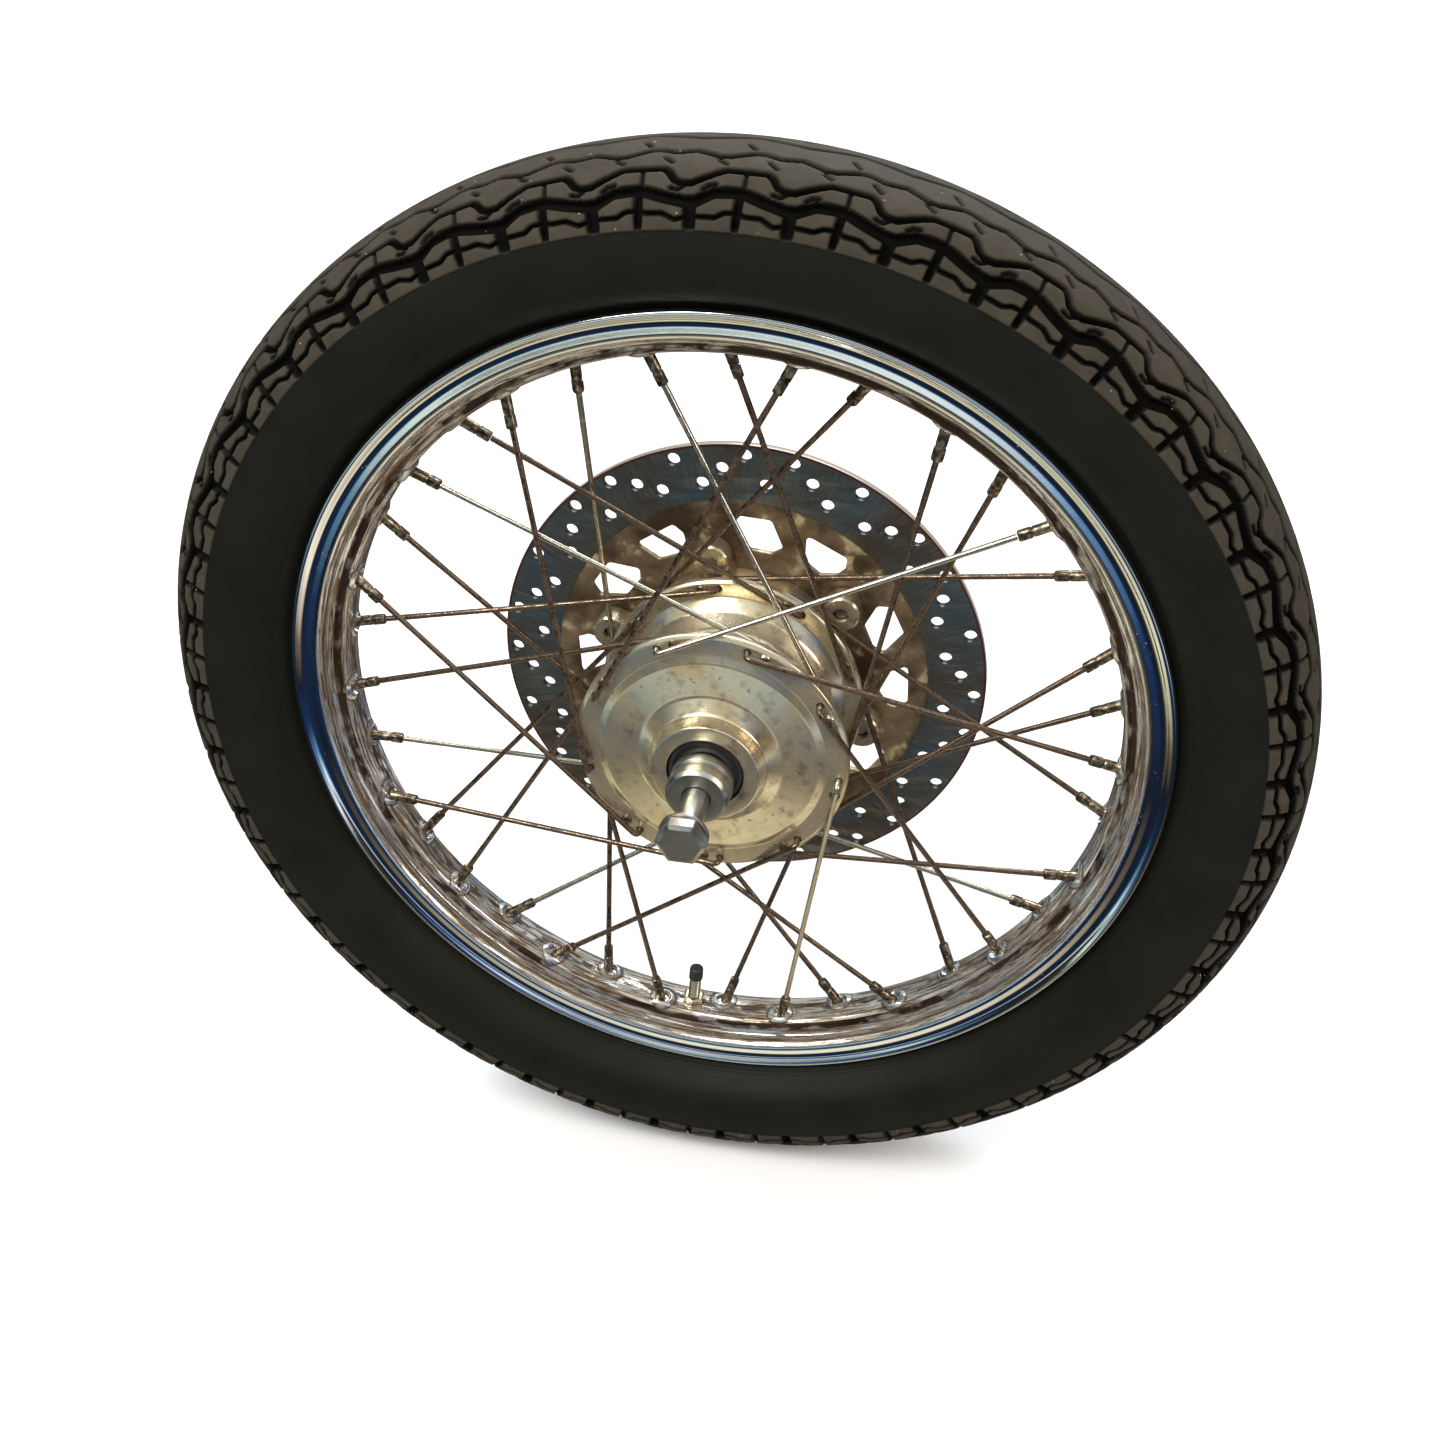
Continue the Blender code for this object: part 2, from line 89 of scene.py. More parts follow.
# Hub, disc and its bolts
LUGS = 6
LUG_ANGLE = 41.3                 # degrees round the wheel to the first lug
LUG_CIRCLE = 0.0780
LUG_RADIUS = 0.0105
LUG_BACK = 0.0415
BOLT_HOLE = 0.0043
DISC_NEAR = 0.0558
DISC_FAR = 0.0596
LUG_FACE = DISC_NEAR - 0.0003
BOLT_HEX = 0.0100
TRACK_NEAR, TRACK_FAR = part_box("brake_disc")[0].y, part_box("brake_disc")[1].y
DISC_RADIUS = top_radius("brake_disc")
DISC_BORE = 0.0660
TRACK_BORE = 0.1093
WINDOW_INNER = 0.0800
WINDOW_OUTER = 0.1000
# Windows: (degrees from the middle, share of the way from the inner to the outer radius)
LEANING_WINDOW = ((8.5, 1.0), (-2.0, 1.0), (-8.6, 0.25), (-5.0, 0.0), (5.5, 0.0), (11.0, 0.65))
FLARED_WINDOW = ((8.8, 0.92), (-6.5, 0.96), (-8.7, 0.62), (-8.2, 0.36), (-2.9, 0.04), (5.0, 0.15))
LEANING_MIDDLE = 41.2            # degrees from a lug to the middle of a window
FLARED_MIDDLE = 18.4
HOLES = 64                       # drilled round the track
HOLE_RADIUS = 0.0037
FIRST_HOLE = 117.5
HOLE_PATTERN = (                 # radii of the holes, repeated round the track
    0.128, 0.120, 0.136, 0.120, 0.128, 0.136, 0.120, 0.136,
)

# Axle parts
AXLE_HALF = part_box("axle")[1].y
AXLE_HEX = 0.0230                # across the flats of the axle's head and nut
WASHER_RADIUS = 0.0132
AXLE_BORE = 0.0078               # bore of the collars, spacer and inner rings


# ---------------------------------------------------------------- camera, floor and light

CAMERA_AZIMUTH = 11.0
CAMERA_ELEVATION = 34.0
CAMERA_DISTANCE = 0.85
CAMERA_LENS = 38.0


def linked(name, data):
    """A new object in the scene that shows a mesh, curve, light or camera."""
    made = bpy.data.objects.new(name, data)
    bpy.context.scene.collection.objects.link(made)
    return made


def aimed(obj, place, target):
    """Stand a camera or light at a place and turn it to face a target."""
    obj.location = place
    obj.rotation_euler = (Vector(target) - Vector(place)).to_track_quat("-Z", "Y").to_euler()
    return obj


def from_sphere(distance, azimuth, elevation):
    """A place seen from the wheel's centre; azimuth 0 is on the -Y side, 90 is on the +X side."""
    turn, lift = math.radians(azimuth), math.radians(elevation)
    flat = distance * math.cos(lift)
    return Vector((flat * math.sin(turn), -flat * math.cos(turn), distance * math.sin(lift)))


def make_camera():
    data = bpy.data.cameras.new("camera")
    data.lens = CAMERA_LENS
    data.sensor_width = 36.0
    data.clip_start = 0.01
    place = from_sphere(CAMERA_DISTANCE, CAMERA_AZIMUTH, CAMERA_ELEVATION)
    bpy.context.scene.camera = aimed(linked("camera", data), place, (0, 0, 0))


def area_light(name, distance, azimuth, elevation, size, power, colour):
    data = bpy.data.lights.new(name, "AREA")
    data.shape = "RECTANGLE"
    data.size, data.size_y = size
    data.energy = power
    data.color = colour
    aimed(linked(name, data), from_sphere(distance, azimuth, elevation), (0, 0, 0))


def make_lights():
    area_light("key_light", 1.9, -38, 52, (1.1, 0.8), 34, (1.0, 0.98, 0.95))
    area_light("side_light", 2.0, 68, 24, (0.5, 1.2), 12, (1.0, 0.86, 0.68))
    area_light("back_light", 2.0, 170, 50, (1.4, 0.7), 26, (0.86, 0.93, 1.0))


PALE_LIGHT = (0.80, 0.81, 0.83)
LEFT_TINT = (0.80, 0.88, 0.72)           # multiplies what is mirrored from the -X side
RIGHT_TINT = (1.0, 1.0, 1.0)
UNEVENNESS = 0.16                        # how far noise bends the bands of the mirrored room

# What polished metal mirrors: (height of a direction, from -1 straight down to 1 straight up, colour)
MIRRORED_ROOM = (
    (-1.00, (0.42, 0.36, 0.27)), (-0.80, (1.0, 0.91, 0.74)), (-0.66, (0.16, 0.12, 0.08)),
    (-0.58, (0.008, 0.012, 0.024)), (-0.46, (0.014, 0.036, 0.105)), (-0.38, (0.12, 0.24, 0.44)),
    (-0.28, (0.90, 0.96, 1.00)), (-0.20, (0.06, 0.05, 0.045)), (-0.02, (0.020, 0.016, 0.014)),
    (0.10, (0.010, 0.020, 0.070)), (0.26, (0.08, 0.16, 0.36)), (0.42, (0.72, 0.82, 0.95)),
    (0.55, (0.30, 0.28, 0.26)), (0.72, (1.0, 0.97, 0.92)), (1.00, (1.0, 1.0, 1.0)),
)


def make_world():
    """Even pale light, with a darker banded room for polished metal to mirror."""
    world = bpy.data.worlds.new("studio")
    bpy.context.scene.world = world
    world.use_nodes = True
    sky = Nodes(world.node_tree, "Generated")
    x, _, z = sky.parts()
    height = sky.maths("MULTIPLY_ADD", sky.noise(2.4, 2.0, roughness=0.5), UNEVENNESS, z)
    bands = sky.add("ValToRGB", {0: sky.ranged(height, (-0.92, 1.08))})
    fill_ramp(bands.node.color_ramp, MIRRORED_ROOM)
    tint = sky.blend(sky.ranged(x, (-0.6, 0.4)), LEFT_TINT, RIGHT_TINT)
    room = sky.blend(1.0, bands, tint, "MULTIPLY")
    mirrored = sky.add("LightPath", {}, "Is Glossy Ray")
    sky.put(sky.tree.nodes["Background"], "Color", sky.blend(mirrored, PALE_LIGHT, room))


def fill_ramp(ramp, stops):
    """Set a colour ramp's stops from (height from -1 to 1, colour) pairs."""
    while len(ramp.elements) < len(stops):
        ramp.elements.new(1.0)
    for element, (height, colour) in zip(ramp.elements, stops):
        element.position = (height + 1) / 2
        element.color = (*colour, 1.0)


def make_stage():
    """Floor that curves up into a backdrop behind the wheel."""
    floor = -TYRE_RADIUS
    bend, back, height, half = 0.9, 1.6, 2.4, 3.0
    outline = [(-3.0, floor), (back - bend, floor)]
    steps = 16
    for k in range(1, steps + 1):
        angle = math.radians(90 * k / steps)
        outline.append((back - bend + bend * math.sin(angle), floor + bend * (1 - math.cos(angle))))
    outline.append((back, height))
    points = np.array([[(x, y, z) for y, z in outline] for x in (-half, half)])
    stage = grid_mesh("floor", points, wrap_u=False, wrap_v=False)
    stage.data.materials.append(plain_floor())
    stage.visible_glossy = False


# ---------------------------------------------------------------- mesh tools

def grid_mesh(name, points, wrap_u=True, wrap_v=True):
    """Object from an array of points [u][v], joined into quads that face outwards when closed."""
    count_u, count_v = points.shape[:2]
    index = np.arange(count_u * count_v).reshape(count_u, count_v)
    next_u = np.roll(index, -1, 0)
    quads = np.stack([index, next_u, np.roll(next_u, -1, 1), np.roll(index, -1, 1)], -1)
    if not wrap_u:
        quads = quads[:-1]
    if not wrap_v:
        quads = quads[:, :-1]
    quads = quads.reshape(-1, 4)
    flat = points.reshape(-1, 3)
    if wrap_u and signed_volume(flat, quads) < 0:
        quads = quads[:, ::-1]
    return new_object(name, flat, quads.tolist())


def signed_volume(points, quads):
    """Six times the volume inside closed quads, negative when they face inwards."""
    a, b, c, d = (points[quads[:, k]] for k in range(4))
    return (a * np.cross(b, c)).sum() + (a * np.cross(c, d)).sum()


def set_attribute(made, name, values):
    """Give a grid mesh one number at each of its points, for its material to read."""
    layer = made.data.attributes.new(name, "FLOAT", "POINT")
    layer.data.foreach_set("value", values.ravel().astype(np.float32))


def new_object(name, points, faces):
    mesh = bpy.data.meshes.new(name)
    mesh.from_pydata(points, [], faces)
    return linked(name, mesh)


def tidied(made, merge=1e-6):
    """Merge doubled points, drop collapsed faces and turn all faces outwards."""
    bm = bmesh.new()
    bm.from_mesh(made.data)
    bmesh.ops.remove_doubles(bm, verts=bm.verts, dist=merge)
    bmesh.ops.dissolve_degenerate(bm, edges=bm.edges, dist=merge)
    bmesh.ops.recalc_face_normals(bm, faces=bm.faces)
    bm.to_mesh(made.data)
    bm.free()
    return made


def shaded(made, angle=35):
    """Smooth shading, with edges sharper than this many degrees kept sharp."""
    made.data.shade_smooth()
    made.data.set_sharp_from_angle(angle=math.radians(angle))
    return made


def dressed(made, finish, body):
    """Give a piece its material and its CAD body."""
    made.data.materials.clear()
    made.data.materials.append(finish)
    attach(made, body)
    return made


def polar(radius, degrees, y=0.0):
    """A place at a radius and an angle round the wheel."""
    angle = math.radians(degrees)
    return Vector((radius * math.cos(angle), y, radius * math.sin(angle)))


def rounded(corners, steps=5):
    """Closed outline from (y, radius, rounding) corners, with a small curve at each rounded one."""
    outline = []
    count = len(corners)
    for k, (y, radius, size) in enumerate(corners):
        here = Vector((y, radius))
        before = Vector(corners[k - 1][:2]) - here
        after = Vector(corners[(k + 1) % count][:2]) - here
        half = before.angle(after) / 2
        if size == 0 or half > 1.54:
            outline.append(tuple(here))
            continue
        reach = min(size / math.tan(half), 0.45 * before.length, 0.45 * after.length)
        start, end = here + before.normalized() * reach, here + after.normalized() * reach
        for step in range(steps + 1):
            t = step / steps
            outline.append(tuple(start * (1 - t) ** 2 + here * 2 * t * (1 - t) + end * t ** 2))
    return outline


def divided(outline, longest):
    """Add points along a closed outline so that no edge is longer than this."""
    dense = []
    for k, here in enumerate(outline):
        there = outline[(k + 1) % len(outline)]
        parts = max(1, math.ceil(math.dist(here, there) / longest))
        for part in range(parts):
            share = part / parts
            dense.append((here[0] + (there[0] - here[0]) * share, here[1] + (there[1] - here[1]) * share))
    return dense


def turned(name, outline, segments):
    """Closed outline of (y, radius) turned about the axle; points on the axle become one."""
    angles = np.radians(np.arange(segments) * 360 / segments)[:, None]
    y, radius = np.array(outline).T
    points = np.stack([radius * np.cos(angles), y + 0 * angles, radius * np.sin(angles)], -1)
    made = grid_mesh(name, points)
    if min(radius) < 1e-6:
        tidied(made)
    return made


def smooth_curve(corners, places):
    """Catmull-Rom curve through (y, radius) points, at places in metres along it or evenly spaced."""
    knots = np.array([corners[0]] + list(corners) + [corners[-1]])
    parts = []
    t = np.linspace(0, 1, 40, endpoint=False)[:, None]
    for a, b, c, d in zip(knots, knots[1:], knots[2:], knots[3:]):
        parts.append(0.5 * (2 * b + (c - a) * t + (2 * a - 5 * b + 4 * c - d) * t ** 2
                            + (3 * b - a - 3 * c + d) * t ** 3))
    fine = np.concatenate(parts + [knots[-1:]])
    along = np.concatenate([[0], np.cumsum(np.hypot(*np.diff(fine, axis=0).T))])
    if isinstance(places, int):
        places = np.linspace(0, along[-1], places)
    else:
        places = places(along[-1])
    return np.stack([np.interp(places, along, fine[:, k]) for k in range(2)], 1)


def rings_along(path, sections):
    """Points [ring][corner] of flat sections, given as (across, third) offsets, set along a path."""
    across = Vector((0.31, 0.17, 0.93))
    rings = []
    for k, (point, section) in enumerate(zip(path, sections)):
        before = (point - path[k - 1]).normalized() if k else Vector()
        after = (path[k + 1] - point).normalized() if k + 1 < len(path) else Vector()
        along = (before + after).normalized()
        across = (across - along * across.dot(along)).normalized()
        third = along.cross(across)
        rings.append([point + across * a + third * b for a, b in section])
    return rings


def capped(name, rings):
    """Closed skin over a row of rings, with a flat face at each end."""
    count = len(rings[0])
    points = [corner for ring in rings for corner in ring]
    faces = [list(range(count)), list(range((len(rings) - 1) * count, len(rings) * count))]
    for k in range(len(rings) - 1):
        for n in range(count):
            m = (n + 1) % count
            low, high = k * count, (k + 1) * count
            faces.append([low + n, low + m, high + m, high + n])
    return tidied(new_object(name, points, faces), 1e-7)


def circle(radius, sides, squareness=0.0):
    """A ring of offsets; squareness 1 flattens four sides to 0.86 of the radius."""
    ring = []
    for k in range(sides):
        angle = 2 * math.pi * (k + 0.5) / sides
        a, b = math.cos(angle), math.sin(angle)
        flat = min(1.0, 0.86 / max(abs(a), abs(b)))
        size = radius * (1 - squareness + squareness * flat)
        ring.append((a * size, b * size))
    return ring


def prism(name, ring, low, high, centre=Vector()):
    """Closed prism along Y of a ring of (x, z) points."""
    rings = [[Vector((centre.x + x, y, centre.z + z)) for x, z in ring] for y in (low, high)]
    return capped(name, rings)


def merged(name, parts):
    """One bare object made of several, which it takes the place of."""
    bm = bmesh.new()
    for part in parts:
        bm.from_mesh(part.data)
        bpy.data.objects.remove(part, do_unlink=True)
    mesh = bpy.data.meshes.new(name)
    bm.to_mesh(mesh)
    bm.free()
    return linked(name, mesh)


def combined(target, tools, operation):
    """Apply one exact Boolean with a set of closed tools to a piece."""
    tool = merged(target.name + "_tool", tools)
    modifier = target.modifiers.new("combine", "BOOLEAN")
    modifier.operation = operation
    modifier.solver = "EXACT"
    modifier.object = tool
    view = bpy.context.evaluated_depsgraph_get()
    result = bpy.data.meshes.new_from_object(target.evaluated_get(view))
    target.modifiers.clear()
    target.data = result
    bpy.data.objects.remove(tool, do_unlink=True)
    return target


def smoothstep(x):
    x = np.clip(x, 0, 1)
    return x * x * (3 - 2 * x)


# ---------------------------------------------------------------- materials

class Nodes:
    """A shader's node tree, built call by call; a method returns an output of the node it adds."""

    def __init__(self, tree, place):
        self.tree = tree
        self.place = tree.nodes.new("ShaderNodeTexCoord").outputs[place]

    def put(self, node, key, value):
        """Set an input from a number, a colour or another node's output."""
        target = node.inputs[key]
        if isinstance(value, bpy.types.NodeSocket):
            self.tree.links.new(value, target)
        elif isinstance(value, tuple) and target.type == "RGBA":
            target.default_value = (*value, 1.0)
        else:
            target.default_value = value

    def add(self, kind, inputs, output=0, **settings):
        node = self.tree.nodes.new("ShaderNode" + kind)
        for name, value in settings.items():
            setattr(node, name, value)
        for key, value in inputs.items():
            self.put(node, key, value)
        return node.outputs[output]

    def maths(self, operation, *values):
        return self.add("Math", dict(enumerate(values)), operation=operation)

    def times(self, a, b):
        return self.maths("MULTIPLY", a, b)

    def plus(self, a, b):
        return self.maths("ADD", a, b)

    def most(self, a, b):
        return self.maths("MAXIMUM", a, b)

    def rest(self, a):
        """What a share leaves of 1."""
        return self.maths("SUBTRACT", 1.0, a)

    def noise(self, scale, detail=3.0, place=None, roughness=0.55):
        return self.add("TexNoise", {"Vector": place or self.place, "Scale": scale, "Detail": detail,
                                     "Roughness": roughness}, "Fac")

    def ranged(self, value, source, target=(0.0, 1.0), kind="LINEAR"):
        """Value moved from one range to another."""
        ends = dict(zip(("From Min", "From Max", "To Min", "To Max"), (*source, *target)))
        return self.add("MapRange", {"Value": value, **ends}, interpolation_type=kind)

    def between(self, value, low, high):
        """0 below low, 1 above high, smooth between; reversed when low is above high."""
        target = (1.0, 0.0) if low > high else (0.0, 1.0)
        return self.ranged(value, sorted((low, high)), target, "SMOOTHSTEP")

    def band(self, value, low, full_from, full_to, high):
        """1 from full_from to full_to, fading to 0 at low and at high."""
        return self.times(self.between(value, low, full_from), self.between(value, high, full_to))

    def spread(self, value, low, high):
        """Value from 0 to 1 turned into a number from low to high."""
        return self.ranged(value, (0.0, 1.0), (low, high))

    def patches(self, scale, detail, low, high):
        """Noise cut into patches: 0 where it is below low and 1 where it is above high."""
        return self.between(self.noise(scale, detail), low, high)

    def uneven(self, scale, detail, low, high):
        """Noise spread from low to high."""
        return self.spread(self.noise(scale, detail), low, high)

    def blend(self, share, first, second, kind="MIX"):
        return self.add("Mix", {0: share, 6: first, 7: second}, 2, data_type="RGBA", blend_type=kind)

    def parts(self):
        """The place's x, y and z."""
        return self.add("SeparateXYZ", {0: self.place}).node.outputs


class Finish(Nodes):
    """A Principled material; its noise and maths come from Nodes."""

    def __init__(self, name, metallic=0.0, roughness=0.5):
        self.material = bpy.data.materials.new(name)
        self.material.use_nodes = True
        super().__init__(self.material.node_tree, "Object")
        self.shader = self.tree.nodes["Principled BSDF"]
        self.put(self.shader, "Metallic", metallic)
        self.put(self.shader, "Roughness", roughness)

    def specks(self, scale):
        """Distance to the nearest of a field of scattered points."""
        return self.add("TexVoronoi", {"Vector": self.place, "Scale": scale}, "Distance")

    def polar_parts(self):
        """Radius, angle and y of the place."""
        x, y, z = self.parts()
        square = self.plus(self.times(x, x), self.times(z, z))
        return self.maths("SQRT", square), self.maths("ARCTAN2", z, x), y

    def polar_noise(self, detail, round_scale, out_scale, y_scale=1.0, roughness=0.55):
        """Noise that follows the wheel round, with its own scale for angle, radius and y."""
        radius, angle, y = self.polar_parts()
        place = self.add("CombineXYZ", {0: self.times(angle, round_scale), 1: self.times(radius, out_scale),
                                        2: self.times(y, y_scale)})
        return self.noise(1.0, detail, place, roughness)

    def attribute(self, name):
        return self.add("Attribute", {}, "Fac", attribute_name=name)

    def bump(self, height, distance, strength=1.0, under=None):
        lower = {} if under is None else {"Normal": under}
        return self.add("Bump", {"Height": height, "Distance": distance, "Strength": strength, **lower})

    def end(self, **values):
        for key, value in values.items():
            self.put(self.shader, key.replace("_", " ").title().replace("Ior", "IOR"), value)
        return self.material


def darker(colour, share):
    return tuple(share * part for part in colour)


def plain_floor():
    paint = Finish("pale_floor", roughness=0.7)
    return paint.end(base_color=paint.blend(paint.noise(1.3, 2), (0.86, 0.86, 0.86), (0.90, 0.90, 0.90)),
                     roughness=paint.spread(paint.noise(40), 0.6, 0.8))


def tyre_rubber():
    """Near-black sidewall, dusty worn block tops, and grooves painted darker than the sidewall rubber, the
    more the deeper they are, as painted shade.
    """
    paint = Finish("tyre_rubber", roughness=0.6)
    top = paint.attribute("block_top")
    groove = paint.attribute("groove")
    dust = paint.times(top, paint.uneven(160, 5, 0.55, 1.25))
    side = paint.blend(paint.noise(26, 4), (0.0040, 0.0046, 0.0030), (0.0095, 0.0094, 0.0066))
    tread = paint.blend(paint.noise(70, 4), (0.024, 0.0195, 0.0125), (0.054, 0.043, 0.028))
    colour = paint.blend(dust, side, tread)
    # painted shade: the grooves are darkened below the sidewall rubber's black, the more the deeper they
    # are cut
    colour = paint.blend(groove, colour, (0.0030, 0.0028, 0.0024))
    grit = paint.times(paint.between(paint.specks(240), 0.13, 0.08), paint.patches(90, 2, 0.60, 0.66))
    grit = paint.times(grit, paint.between(paint.plus(top, groove), 0.3, 0.6))
    colour = paint.blend(grit, colour, (0.26, 0.235, 0.19))
    grain = paint.bump(paint.noise(2600, 2), 0.00006, 0.5)
    scuffs = paint.bump(paint.noise(420, 5), 0.00016, 0.6, grain)
    rough = paint.plus(paint.uneven(55, 4, 0.46, 0.62), paint.times(top, 0.2))
    shine = paint.times(paint.spread(top, 0.13, 0.22), paint.spread(groove, 1.0, 0.1))
    return paint.end(base_color=colour, roughness=rough, normal=scuffs, specular_ior_level=shine)


def plain_rubber(name, colour, roughness):
    paint = Finish(name)
    lighter = tuple(2.2 * part for part in colour)
    return paint.end(base_color=paint.blend(paint.noise(90, 4), colour, lighter),
                     roughness=paint.spread(paint.noise(60), roughness - 0.08, roughness + 0.12),
                     normal=paint.bump(paint.noise(1500, 3), 0.00008, 0.6))


def rim_chrome():
    """Bright flanges; the spoke side is stained tan in streaks, with rust in its grooves; the dimple tops
    are kept clear of stain and grime as a painted highlight.
    """
    paint = Finish("rim_chrome", metallic=1.0)
    radius, _, y = paint.polar_parts()
    across = paint.maths("ABSOLUTE", y)
    inside = paint.between(radius, 0.2290, 0.2272)
    dimple = paint.attribute("dimple")
    # painted highlight: bare drops to 0.25 on the dimple tops, clearing stain and grime there so that they
    # show bright chrome
    bare = paint.rest(paint.times(paint.between(dimple, 0.35, 0.85), 0.75))
    streaks = paint.polar_noise(5, 8, 500, 760, 0.6)
    stain = paint.times(inside, paint.spread(paint.between(streaks, 0.36, 0.60), 0.22, 1.0))
    # stain kept off the dimple tops: painted highlight
    stain = paint.times(stain, bare)

    # brown grime: on the well's slopes, along its middle, in drips, in a line and round each dimple
    slope = paint.band(across, 0.0110, 0.0116, 0.0128, 0.0136)
    middle = paint.times(paint.between(across, 0.0052, 0.0030),
                         paint.between(paint.polar_noise(4, 22, 200, 260), 0.40, 0.58))
    drips = paint.between(paint.polar_noise(5, 13, 700, 1100, 0.7), 0.52, 0.60)
    line = paint.band(across, 0.0172, 0.0178, 0.0186, 0.0192)
    skirt = paint.band(dimple, 0.02, 0.10, 0.22, 0.42)
    clumps = paint.between(paint.polar_noise(5, 11, 120, 160), 0.38, 0.54)
    grime = paint.times(slope, paint.spread(clumps, 0.42, 1.0))
    for place, strength in ((middle, 0.85), (drips, 0.9), (line, 0.7)):
        grime = paint.most(grime, paint.times(place, strength))
    # grime kept off the dimple tops for their painted highlight, then a brown ring round each dimple
    grime = paint.most(paint.times(grime, bare), paint.times(skirt, 0.8))
    grime = paint.times(inside, grime)

    pits = paint.times(paint.between(paint.specks(330), 0.22, 0.12), paint.patches(38, 4, 0.54, 0.64))
    rust = paint.times(pits, paint.spread(inside, 0.12, 1.0))
    tan = paint.blend(paint.between(streaks, 0.45, 0.58), (0.60, 0.50, 0.34), (0.17, 0.110, 0.060))
    ledge = paint.between(across, 0.0134, 0.0142)
    tan = paint.blend(paint.times(ledge, 0.45), tan, (0.20, 0.145, 0.088))
    colour = paint.blend(paint.noise(9, 2), (0.86, 0.88, 0.92), (0.95, 0.94, 0.91))
    colour = paint.blend(stain, colour, tan)
    colour = paint.blend(grime, colour, (0.036, 0.018, 0.009))
    colour = paint.blend(rust, colour, (0.13, 0.040, 0.014))
    dull = paint.most(paint.times(grime, 0.45), paint.times(rust, 0.7))
    rough = paint.plus(paint.uneven(140, 4, 0.020, 0.070), paint.plus(dull, paint.times(stain, 0.18)))
    wave = paint.bump(paint.noise(34, 2), 0.00045, 0.25)
    fine = paint.bump(paint.noise(800, 3), 0.00003, 0.4, wave)
    covered = paint.most(paint.times(rust, 0.9), paint.times(stain, 0.50))
    return paint.end(base_color=colour, roughness=rough, normal=fine, metallic=paint.rest(covered))


def spoke_metal(name, bare, rusty, cover):
    """Spoke steel; cover is how much of it brown rust hides."""
    paint = Finish(name, metallic=1.0)
    edge = 0.72 - 0.5 * cover
    patches = paint.between(paint.noise(190, 6, roughness=0.7), edge, 0.86 - 0.5 * cover)
    rust = paint.times(patches, paint.spread(paint.patches(900, 4, 0.40, 0.62), 0.45, 1.0))
    metal = paint.blend(paint.noise(60, 3), bare, darker(bare, 0.75))
    rough = paint.plus(paint.spread(paint.noise(300), 0.16, 0.26), paint.times(rust, 0.22))
    return paint.end(base_color=paint.blend(rust, metal, rusty), roughness=rough,
                     metallic=paint.rest(paint.times(rust, 0.75)),
                     normal=paint.bump(paint.noise(1300, 4), 0.00012, 0.8))


def nipple_brass():
    """Dark plated brass, worn bright on its corners, with brown in its hollows."""
    paint = Finish("nipple_brass", metallic=1.0)
    worn = paint.patches(330, 4, 0.44, 0.66)
    colour = paint.blend(worn, (0.13, 0.095, 0.062), (0.52, 0.43, 0.29))
    colour = paint.blend(paint.patches(150, 5, 0.58, 0.70), colour, (0.050, 0.030, 0.020))
    return paint.end(base_color=colour, roughness=paint.uneven(420, 3, 0.22, 0.50),
                     normal=paint.bump(paint.noise(1700, 3), 0.00008, 0.5))


def hub_aluminium():
    """Turned and polished alloy, with fine rings and grey spots of oxide; its gold colour is painted warm
    reflection, and patches of painted shade darken it where it is narrow.
    """
    paint = Finish("hub_aluminium", metallic=1.0)
    radius = paint.polar_parts()[0]
    # painted warm reflection: the hub's gold colour stands in for warm reflected light; these patches are
    # deeper gold and a little less metallic
    warm_reflection_patches = paint.patches(34, 5, 0.42, 0.70)
    spots = paint.patches(260, 5, 0.60, 0.72)
    # painted shade in patches where the hub is narrower than a radius of 0.060 to 0.064: the barrel and its
    # ends
    barrel_shade = paint.times(paint.between(radius, 0.064, 0.060), paint.patches(110, 5, 0.5, 0.75))
    colour = paint.blend(warm_reflection_patches, (0.78, 0.69, 0.50), (0.60, 0.47, 0.27))
    colour = paint.blend(paint.times(spots, 0.7), colour, (0.30, 0.27, 0.23))
    colour = paint.blend(paint.times(barrel_shade, 0.6), colour, (0.17, 0.12, 0.08))
    rough = paint.plus(paint.spread(paint.polar_noise(2, 3.0, 900), 0.14, 0.26), paint.times(spots, 0.16))
    rings = paint.bump(paint.polar_noise(3, 0.6, 2600), 0.00003, 0.35)
    return paint.end(base_color=colour, roughness=rough, metallic=paint.spread(warm_reflection_patches, 0.90, 0.78),
                     normal=paint.bump(paint.noise(90, 4), 0.0002, 0.35, rings))


def track_steel(paint, scores, strokes):
    """The swept track's colour: scored grey with brown patches of painted reflection, blue-grey patches and
    yellow rub marks.
    """
    patches = paint.polar_noise(2, 2.6, 12)
    steel = paint.blend(scores, (0.060, 0.066, 0.060), (0.150, 0.158, 0.150))
    # the brown patches (0.105, 0.075, 0.050) are painted reflection
    for low, high, tint in ((0.50, 0.62, (0.105, 0.075, 0.050)), (0.44, 0.34, (0.085, 0.125, 0.150))):
        steel = paint.blend(paint.times(paint.between(patches, low, high), 0.7), steel, tint)
    steel = paint.blend(paint.between(strokes, 0.52, 0.78), steel, (0.26, 0.265, 0.255))
    rub = paint.times(paint.between(paint.polar_noise(2, 52, 9), 0.66, 0.72),
                      paint.patches(13, 2, 0.50, 0.60))
    return paint.blend(paint.times(rub, 0.9), steel, (0.62, 0.50, 0.26))


